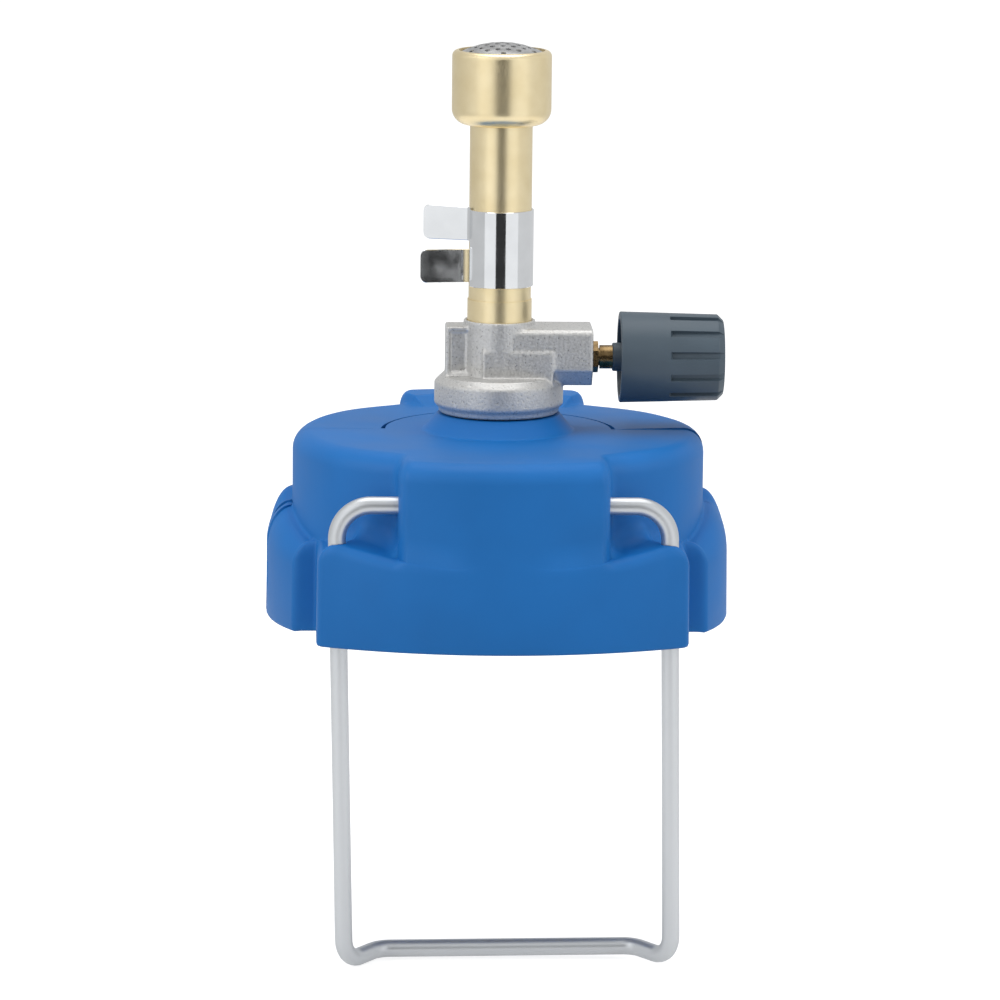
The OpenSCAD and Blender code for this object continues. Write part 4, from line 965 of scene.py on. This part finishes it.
class BURNER_OT_shells(bpy.types.Operator):
    """Builds the cap's front and rear shells as smooth moulded skins, with the hinge's barrels and knuckle"""

    bl_idname = "burner.shells"
    bl_label = "Cap Shells"

    def execute(self, context):
        s, bail = plain(context.scene.burner_shell), plain(context.scene.burner_bail)
        front, rear = front_skin(s), rear_skin(s)
        relief = hinge_column("relief", s, partial(np.full_like, fill_value=s.relief_r), 0, RELIEF_FOOT,
                              s.lobe_z + RELIEF_OVER)
        cut(front, leg_slot(-1, bail), leg_slot(1, bail), relief)
        front.data.set_sharp_from_angle(angle=math.radians(SKIN_SHARP_DEG))
        finish_piece(front, finish_of("shell"), "cap", "shell", "front_shell")
        finish_piece(rear, finish_of("shell"), "rear", "shell", "rear_shell")
        for column, body in zip(hinge_columns(s), ("rear", "rear", "cap")):
            finish_piece(column, finish_of("shell"), body, "shell")
        return {"FINISHED"}


# ---------- The bail ----------

WIRE_BEND_STEPS = 17


def bail_path(b):
    """Centre line of the wire in the bail's own plane, its corners rounded, then leaned about the pivot and moved
    to it: out of the block, down a leg, in along a foot, across, and back by the mirror image. Below the panels
    the legs lean a little to the right and the crossbar rises to that side, as a sprung wire does."""
    foot = math.radians(b.foot_deg)
    knee_x = b.leg_x - b.foot_back / math.tan(foot)
    half = [(b.end_x, 0, 0), (b.leg_x, 0, 0), (b.leg_x, 0, -b.leg_len), (knee_x, b.foot_back, -b.leg_len)]
    corners = [np.array(p, float) for p in half + [(-x, y, z) for x, y, z in reversed(half)]]
    radii = [None, b.top_bend, b.foot_bend, b.foot_bend, b.foot_bend, b.foot_bend, b.top_bend, None]
    path = rounded_path(corners, radii, WIRE_BEND_STEPS)
    share = np.maximum(-path[:, 2] - b.skew_from, 0) / (b.leg_len - b.skew_from)
    path[:, 2] += b.skew_z * share * path[:, 0] / b.leg_x
    path[:, 0] += b.skew_x * share
    turn = np.array(Matrix.Rotation(math.radians(b.lean_deg), 3, "X"))
    return path @ turn.T + [0, -b.pivot_y, b.pivot_z]


class BURNER_OT_bail(bpy.types.Operator):
    """Builds the wire bail as a round section carried along its bent centre line"""

    bl_idname = "burner.bail"
    bl_label = "Wire Bail"

    def execute(self, context):
        b = plain(context.scene.burner_bail)
        wire = round_rod("bail_wire", bail_path(b), b.wire_r)
        finish_piece(wire, finish_of("zinc_wire"), "bail", "zinc_wire", "bail")
        return {"FINISHED"}


# ---------- The valve body ----------

CASTING_WELD = 1e-6
CASTING_VOXEL = 0.36 * MM
SOFTEN_SHARE, SOFTEN_PASSES = 0.5, 4


class BURNER_OT_casting(bpy.types.Operator):
    """Softens the valve body's solid into a die casting with rounded edges"""

    bl_idname = "burner.casting"
    bl_label = "Valve Casting"

    def execute(self, context):
        solid = frame["nodes"]["valve_body"]
        casting = bpy.data.objects.new("valve_casting", solid.data.copy())
        context.scene.collection.objects.link(casting)
        work = bmesh.new()
        work.from_mesh(casting.data)
        bmesh.ops.remove_doubles(work, verts=work.verts, dist=CASTING_WELD)
        work.to_mesh(casting.data)
        work.free()
        remesh = casting.modifiers.new("skin", "REMESH")
        remesh.mode, remesh.voxel_size = "VOXEL", CASTING_VOXEL
        soften = casting.modifiers.new("soften", "SMOOTH")
        soften.factor, soften.iterations = SOFTEN_SHARE, SOFTEN_PASSES
        context.view_layer.update()
        made = bpy.data.meshes.new_from_object(casting.evaluated_get(context.evaluated_depsgraph_get()))
        casting.modifiers.clear()
        casting.data = made
        made.polygons.foreach_set("use_smooth", np.ones(len(made.polygons), bool))
        finish_piece(casting, finish_of("casting"), "head", "casting", "valve_body")
        return {"FINISHED"}


# ---------- The control knob ----------

# The knob's section, in millimetres, and its grooves, in degrees from a groove's middle
KNOB_ROUNDINGS = (None, 0.4, 0.6, 0.6, 0.3, 0.35, 0.5, 0.5, 2.0, None)
KNOB_ROUNDING_STEPS = 7
KNOB_SHARP_DEG = 33.0
MOUTH_EDGE = (1.0, 0.5)  # the mouth's outer rounding lies this near to the radius and to the inner end
GROOVE_SIDE = (4.0, 4.8)
GROOVE_END = (-0.4, 0.1)  # from the groove's inner end
SKIRT_STATIONS = (0.6, 7.6)  # on the plain skirt, from the knob's inner end
START_STATIONS = (-1.2, *np.linspace(-0.7, 0.5, 9))  # where the grooves begin, from their inner end
ALONG_STATIONS = (2.0, 0.4, 4)  # along them: from their inner end, short of the chamfer, and how many
GROOVE_STATIONS = (-15, -13, -11, -9, -7, -5.6, -4.9, -4.7, -4.4, -4.1, -3.9, -3.0, -1.5,
                   0, 1.5, 3.0, 3.9, 4.1, 4.4, 4.7, 4.9, 5.6, 7, 9, 11, 13)


def knob_surface(k):
    """The knob's skin as a grid over the angle round the spindle and the stations of a closed section (x, r).

    Its outside radius falls in a straight taper to a chamfered end; in each groove's window the radius is held
    down to a flat bottom, and each window opens with smooth sides and a steep inner end.
    """
    end_r, skirt_r = k.r - k.taper, k.r - k.wall
    x0, x1 = k.x, k.x + k.len
    corners = [(x0 - k.hub_out, k.bore_r), (x0 - k.hub_out, k.hub_r), (x0 + k.hollow, k.hub_r),
               (x0 + k.hollow, skirt_r), (x0, skirt_r), (x0, k.r), (x1 - k.edge, end_r), (x1, end_r - k.edge),
               (x1, k.dish_r), (x1 - k.dish, 0.0)]
    section = rounded_path([np.array(c) for c in corners], KNOB_ROUNDINGS, KNOB_ROUNDING_STEPS)
    mouth_edge = (section[:, 1] > k.r - MOUTH_EDGE[0]) & (section[:, 0] < x0 + MOUTH_EDGE[1])
    first = int(np.flatnonzero(mouth_edge)[-1])
    groove_x = x1 - k.groove_len
    after, short, count = ALONG_STATIONS
    outer = np.concatenate([x0 + np.array(SKIRT_STATIONS), groove_x + np.array(START_STATIONS),
                            np.linspace(groove_x + after, x1 - k.edge - short, count)])
    run = np.column_stack([outer, k.r + (end_r - k.r) * (outer - x0) / (x1 - k.edge - x0)])
    section = np.concatenate([section[:first + 1], run, section[first + 1:]])
    window = np.array(GROOVE_STATIONS)
    centres = np.arange(k.grooves) * 360.0 / k.grooves
    turn = np.radians((centres[:, None] + window).ravel() + k.phase_deg)
    across = np.tile(1 - ease(*GROOVE_SIDE, np.abs(window)), k.grooves)
    along = ease(groove_x + GROOVE_END[0], groove_x + GROOVE_END[1], section[:, 0])
    x = np.broadcast_to(section[:, 0], (len(turn), len(section)))
    smooth = np.broadcast_to(section[:, 1], x.shape)
    r = smooth - np.maximum(smooth - (end_r - k.groove_depth), 0) * across[:, None] * along[None, :]
    return np.stack([x, -r * np.cos(turn)[:, None], k.z + r * np.sin(turn)[:, None]], axis=-1)


class BURNER_OT_knob(bpy.types.Operator):
    """Builds the control knob with its grip grooves, hub and hollow"""

    bl_idname = "burner.knob"
    bl_label = "Control Knob"

    def execute(self, context):
        points = knob_surface(plain(context.scene.burner_knob))
        turns, count = points.shape[:2]
        faces = grid_faces(turns, count, True, False)
        faces.append([i * count for i in range(turns)])
        knob = mesh_object("grip_knob", points, faces, KNOB_SHARP_DEG)
        finish_piece(knob, finish_of("knob"), "knob", "knob", "control_knob")
        return {"FINISHED"}


# ---------- The air collar ----------

# Stations along the collar's strip, in millimetres and counts
ARC_STEPS, TAB_STEPS, ROUNDING_STEPS, BEND_STEPS = 361, 80, 7, 9
STRIP_SPACING = 0.3
TAB_GAP = 0.05  # between a tab's line and the arc's end
FOOT_STATIONS = (0.01, 0.15)  # just past a tab's foot, where the edge drops to the band's
COLLAR_SHARP_DEG = 40.0


def collar_strip(c):
    """Mid line of the bent sheet in plan and the heights of its two edges there.

    The line runs in along the upper tab, round a small bend into the band's arc, and by another bend out along the
    lower tab; a bend is the mean of the sharp line's points within c.bend either way. Each edge stays level on the
    band and follows a tab's own edge beyond it, with a quarter circle r - sqrt(r^2 - (r - d)^2) in the corner
    between them and at a tab's free corners.
    """
    front, rear = math.radians(c.front_deg), math.radians(c.front_deg - c.open_deg + 360)
    start, end = (c.r * np.array([math.cos(a), math.sin(a)]) for a in (front, rear))
    lean_a, lean_b = math.radians(c.lean_deg), math.radians(c.lean_low_deg)
    out_a = np.array([-math.cos(lean_a), math.sin(lean_a)])
    out_b = np.array([-math.cos(lean_b), -math.sin(lean_b)])
    len_a, len_b = (c.reach + start[0]) / math.cos(lean_a), (c.reach_low + end[0]) / math.cos(lean_b)
    turn = np.linspace(front, rear, ARC_STEPS)
    arc = c.r * np.stack([np.cos(turn), np.sin(turn)], axis=-1)
    line = np.concatenate([start + out_a * np.linspace(len_a, TAB_GAP, TAB_STEPS)[:, None], arc,
                           end + out_b * np.linspace(TAB_GAP, len_b, TAB_STEPS)[:, None]])
    run = np.concatenate([[0], np.cumsum(np.linalg.norm(np.diff(line, axis=0), axis=1))])
    total, foot_a, foot_b = run[-1], len_a + c.bend, run[-1] - len_b - c.bend
    quarter, past_foot = 1 - np.cos(np.linspace(0, math.pi / 2, ROUNDING_STEPS)), np.array(FOOT_STATIONS)
    s = np.unique(np.concatenate([
        np.arange(0, total, STRIP_SPACING), c.corner * quarter, total - c.corner * quarter,
        foot_a - c.fillet * quarter, foot_a + past_foot, foot_b + c.fillet * quarter, foot_b - past_foot]))
    blend = np.linspace(-1, 1, BEND_STEPS) * c.bend
    half = np.minimum(1, np.minimum(s, total - s) / c.bend)[:, None]
    xy = np.stack([np.interp(s[:, None] + blend * half, run, line[:, i]).mean(axis=1) for i in (0, 1)], axis=-1)

    def round_off(d, r):
        return r - np.sqrt(np.maximum(r * r - np.maximum(r - d, 0) ** 2, 0))

    free = round_off(np.minimum(s, total - s), c.corner)
    in_a, in_b = round_off(np.maximum(foot_a - s, 0), c.fillet), round_off(np.maximum(s - foot_b, 0), c.fillet)
    rise = c.tab_rise * (1 - s / foot_a)
    upper, band = s <= foot_a, s < foot_b
    low = np.where(upper, c.up_low + free - in_a, np.where(band, c.z, c.down_low + free))
    high = np.where(upper, c.up_high + rise - free, np.where(band, c.z + c.h, c.down_high - free + in_b))
    return xy, low, high


class BURNER_OT_collar(bpy.types.Operator):
    """Builds the air collar as a thin strip bent round the tube, with its two finger tabs"""

    bl_idname = "burner.collar"
    bl_label = "Air Collar"

    def execute(self, context):
        c = plain(context.scene.burner_collar)
        line, low, high = collar_strip(c)
        step = np.linalg.norm(np.diff(line, axis=0), axis=1)
        along = unit(np.gradient(line, np.concatenate([[0], np.cumsum(step)]), axis=0))
        side = np.stack([along[:, 1], -along[:, 0]], axis=-1)
        face, flat = c.t / 2, c.t / 2 - c.bevel
        across = np.array([-face, -face, -flat, flat, face, face, flat, -flat])
        up = np.array([0, 1, 1, 1, 1, 0, 0, 0])
        inset = c.bevel * np.array([1, -1, 0, 0, -1, 1, 0, 0])
        z = low[:, None] + (high - low)[:, None] * up + inset
        xy = line[:, None] + side[:, None] * across[:, None]
        points = np.concatenate([xy, z[..., None]], axis=-1)
        rows, sides = points.shape[:2]
        ends = [list(range(sides)), list(range((rows - 1) * sides, rows * sides))]
        collar = mesh_object("air_sleeve", points, grid_faces(rows, sides, False, True) + ends, COLLAR_SHARP_DEG)
        finish_piece(collar, finish_of("chromed_sheet"), "collar", "chromed_sheet", "air_collar")
        return {"FINISHED"}


# ---------- Pieces kept from the frame ----------

# Kept solids drawn in the darker brown brass rather than in their slot's finish
DARK_BROWN_PARTS = ("gland_nut", "valve_spindle")


class BURNER_OT_kept_solids(bpy.types.Operator):
    """Gives every solid that is shown as it is the finish of its material slot"""

    bl_idname = "burner.kept_solids"
    bl_label = "Kept Solids"

    def execute(self, context):
        slots = {part["node"]: part["material_slot"] for part in frame["record"]["subparts"]}
        for node, solid in frame["nodes"].items():
            if not solid.hide_render:
                solid.data.materials.clear()
                solid.data.materials.append(finish_of("aged_brass" if node in DARK_BROWN_PARTS else slots[node]))
        return {"FINISHED"}


# ---------- Stage ----------

FLOOR_HALF = 4000.0  # half the floor's side, in millimetres
# The reflecting cards, in millimetres, and the steps along each
CARD_R, CARD_LOW, CARD_TOP, CARD_FOOT, CARD_STEPS = 750.0, -82.0, 700.0, 420.0, 25
DARK_TOP = 340.0
CARD_TONE = (0.97, 0.985, 1.0, 1)
CARDS = {  # first and last angle from -Y to +X, lower and upper height, glow, radius of the foot
    "dark_card": (-17, 17, CARD_LOW, DARK_TOP, 0.03, CARD_FOOT),
    "top_card": (-17, 17, DARK_TOP, CARD_TOP, 0.8, CARD_R - 1),
    "left_card": (-57, -17, CARD_LOW, CARD_TOP, 0.95, CARD_FOOT),
    "right_card": (17, 62, CARD_LOW, CARD_TOP, 0.95, CARD_FOOT),
    "left_side_card": (-178, -57, CARD_LOW, CARD_TOP, 0.6, CARD_FOOT),
    "right_side_card": (62, 178, CARD_LOW, CARD_TOP, 0.68, CARD_FOOT),
}
LAMP_TARGET = (0.0, 0.0, 0.03)
WHITE = (1, 1, 1, 1)
GLOSSY_SHARE = 0.5
AMBIENT = 0.6  # the world's strength on the object; the camera sees 1
SENSOR_MM, SHIFT_X, CLIP = 36.0, 0.0025, (0.1, 20.0)


def level_floor(depth):
    """A flat square that lies a depth in millimetres below the origin."""
    mesh = bpy.data.meshes.new("floor")
    corners = FLOOR_HALF * np.array([(-1, -1), (1, -1), (1, 1), (-1, 1)])
    points = np.column_stack([corners, np.full(4, -depth)]) * MM
    mesh.from_pydata(points.tolist(), [], [(0, 1, 2, 3)])
    floor = bpy.data.objects.new("floor", mesh)
    bpy.context.scene.collection.objects.link(floor)
    return floor


def backdrop_material(name, base, glow):
    """A matt grey that glows for the camera, and by GLOSSY_SHARE of that in reflections. Its shadows stay."""
    material = bpy.data.materials.new(name)
    material.use_nodes = True
    nodes, link = material.node_tree.nodes, material.node_tree.links.new
    shader = nodes["Principled BSDF"]
    shader.inputs["Base Color"].default_value = (base, base, base, 1)
    shader.inputs["Roughness"].default_value = 0.9
    shader.inputs["Specular IOR Level"].default_value = 0.0
    shader.inputs["Emission Color"].default_value = WHITE
    path = nodes.new("ShaderNodeLightPath")
    direct = place(nodes, "ShaderNodeMath", operation="MULTIPLY", in1=glow)
    link(path.outputs["Is Camera Ray"], direct.inputs[0])
    strength = place(nodes, "ShaderNodeMath", operation="MULTIPLY_ADD", in1=GLOSSY_SHARE * glow)
    link(path.outputs["Is Glossy Ray"], strength.inputs[0])
    link(direct.outputs[0], strength.inputs[2])
    link(strength.outputs[0], shader.inputs["Emission Strength"])
    return material


def area_lamp(name, at, size, power):
    """A square soft lamp, placed and sized in metres, that faces the burner."""
    lamp = bpy.data.lights.new(name, "AREA")
    lamp.shape, lamp.size, lamp.energy = "SQUARE", size, power
    holder = bpy.data.objects.new(name, lamp)
    holder.location = at
    holder.rotation_mode = "QUATERNION"
    holder.rotation_quaternion = (Vector(LAMP_TARGET) - Vector(at)).to_track_quat("-Z", "Y")
    bpy.context.scene.collection.objects.link(holder)


class BURNER_OT_stage(bpy.types.Operator):
    """Adds the pale floor, the cards that bright metal reflects, soft lamps, the world and the camera"""

    bl_idname = "burner.stage"
    bl_label = "Stage"

    def execute(self, context):
        scene, s = context.scene, plain(context.scene.burner_stage)
        floor = level_floor(s.floor_z)
        floor.data.materials.append(backdrop_material("pale_floor", base=0.6, glow=0.7))
        for name, values in CARDS.items():
            self.card(name, *values)
        self.world(scene)
        area_lamp("left_softbox", at=(-0.9, -0.5, 0.55), size=0.8, power=5.0)
        area_lamp("right_softbox", at=(0.95, -0.35, 0.5), size=0.7, power=4.0)
        area_lamp("top_softbox", at=(0.0, 0.1, 1.1), size=0.9, power=5.0)
        scene.camera = self.camera(scene, s)
        scene.view_settings.view_transform = "Standard"
        return {"FINISHED"}

    def card(self, name, first_deg, last_deg, low, high, glow, foot):
        """A curved sheet round the burner that only reflections see: (R sin a, -R cos a, z), a from -Y to +X.

        Its foot runs in over the floor to the radius foot.
        """
        turn = np.radians(np.linspace(first_deg, last_deg, CARD_STEPS))
        way = np.stack([np.sin(turn), -np.cos(turn)], axis=-1)
        points = np.concatenate([np.column_stack([r * way, np.full(CARD_STEPS, z)])
                                 for r, z in ((foot, low), (CARD_R, low), (CARD_R, high))])
        mesh = bpy.data.meshes.new(name)
        mesh.from_pydata((points * MM).tolist(), [], grid_faces(3, CARD_STEPS, False, False))
        card = bpy.data.objects.new(name, mesh)
        bpy.context.scene.collection.objects.link(card)
        material = bpy.data.materials.new(name)
        material.use_nodes = True
        shader = material.node_tree.nodes["Principled BSDF"]
        shader.inputs["Base Color"].default_value = (0.01, 0.01, 0.01, 1)
        shader.inputs["Specular IOR Level"].default_value = 0.0
        shader.inputs["Emission Color"].default_value = CARD_TONE
        shader.inputs["Emission Strength"].default_value = glow
        card.data.materials.append(material)
        card.visible_camera = card.visible_diffuse = card.visible_shadow = False

    def world(self, scene):
        """White to the camera, and a plain soft light on the object."""
        world = bpy.data.worlds.new("studio")
        world.use_nodes = True
        nodes, link = world.node_tree.nodes, world.node_tree.links.new
        path = nodes.new("ShaderNodeLightPath")
        strength = place(nodes, "ShaderNodeMapRange")
        strength.inputs["To Min"].default_value, strength.inputs["To Max"].default_value = AMBIENT, 1.0
        link(path.outputs["Is Camera Ray"], strength.inputs["Value"])
        background = nodes["Background"]
        background.inputs["Color"].default_value = WHITE
        link(strength.outputs[0], background.inputs["Strength"])
        scene.world = world

    def camera(self, scene, s):
        """A long lens at the stage's pitch, yaw and roll."""
        pitch, yaw = math.radians(s.pitch_deg), math.radians(s.yaw_deg)
        back = Vector((-math.cos(pitch) * math.sin(yaw), -math.cos(pitch) * math.cos(yaw), math.sin(pitch)))
        lens = bpy.data.cameras.new("camera")
        lens.lens, lens.sensor_width, lens.shift_x = s.lens_mm, SENSOR_MM, SHIFT_X
        lens.clip_start, lens.clip_end = CLIP
        holder = bpy.data.objects.new("camera", lens)
        holder.location = Vector((0, 0, s.target_z * MM)) + back * s.distance * MM
        turn = (-back).to_track_quat("-Z", "Y").to_matrix() @ Matrix.Rotation(math.radians(s.roll_deg), 3, "Z")
        holder.rotation_mode = "QUATERNION"
        holder.rotation_quaternion = turn.to_quaternion()
        scene.collection.objects.link(holder)
        return holder


# ---------- Add-on ----------

OPERATORS = (BURNER_OT_shells, BURNER_OT_bail, BURNER_OT_casting, BURNER_OT_knob, BURNER_OT_collar,
             BURNER_OT_kept_solids, BURNER_OT_stage)
SETTINGS = {
    "burner_shell": BurnerShellSizes, "burner_bail": BurnerBailSizes, "burner_knob": BurnerKnobSizes,
    "burner_collar": BurnerCollarSizes, "burner_colours": BurnerColours, "burner_stage": BurnerStageSettings,
}


class BURNER_PT_dresser(bpy.types.Panel):
    """Lists the burner's pieces"""

    bl_idname = "BURNER_PT_dresser"
    bl_label = "Gas Burner"
    bl_space_type = "VIEW_3D"
    bl_region_type = "UI"
    bl_category = "Burner"

    def draw(self, context):
        for operator in OPERATORS:
            self.layout.operator(operator.bl_idname)
        for name, group in SETTINGS.items():
            box = self.layout.box()
            box.label(text=group.__doc__)
            for key in group.__annotations__:
                box.prop(getattr(context.scene, name), key)


def register():
    """Registers the settings, the operators and the panel."""
    for name, group in SETTINGS.items():
        bpy.utils.register_class(group)
        setattr(bpy.types.Scene, name, bpy.props.PointerProperty(type=group))
    for cls in (*OPERATORS, BURNER_PT_dresser):
        bpy.utils.register_class(cls)


def unregister():
    """Takes them back in reverse order."""
    for cls in reversed((*OPERATORS, BURNER_PT_dresser)):
        bpy.utils.unregister_class(cls)
    for name, group in SETTINGS.items():
        delattr(bpy.types.Scene, name)
        bpy.utils.unregister_class(group)


def main():
    """Registers the add-on and runs its operators, which build every piece and the stage."""
    register()
    for operator in OPERATORS:
        group, name = operator.bl_idname.split(".")
        getattr(getattr(bpy.ops, group), name)()


if __name__ == "__main__":
    main()
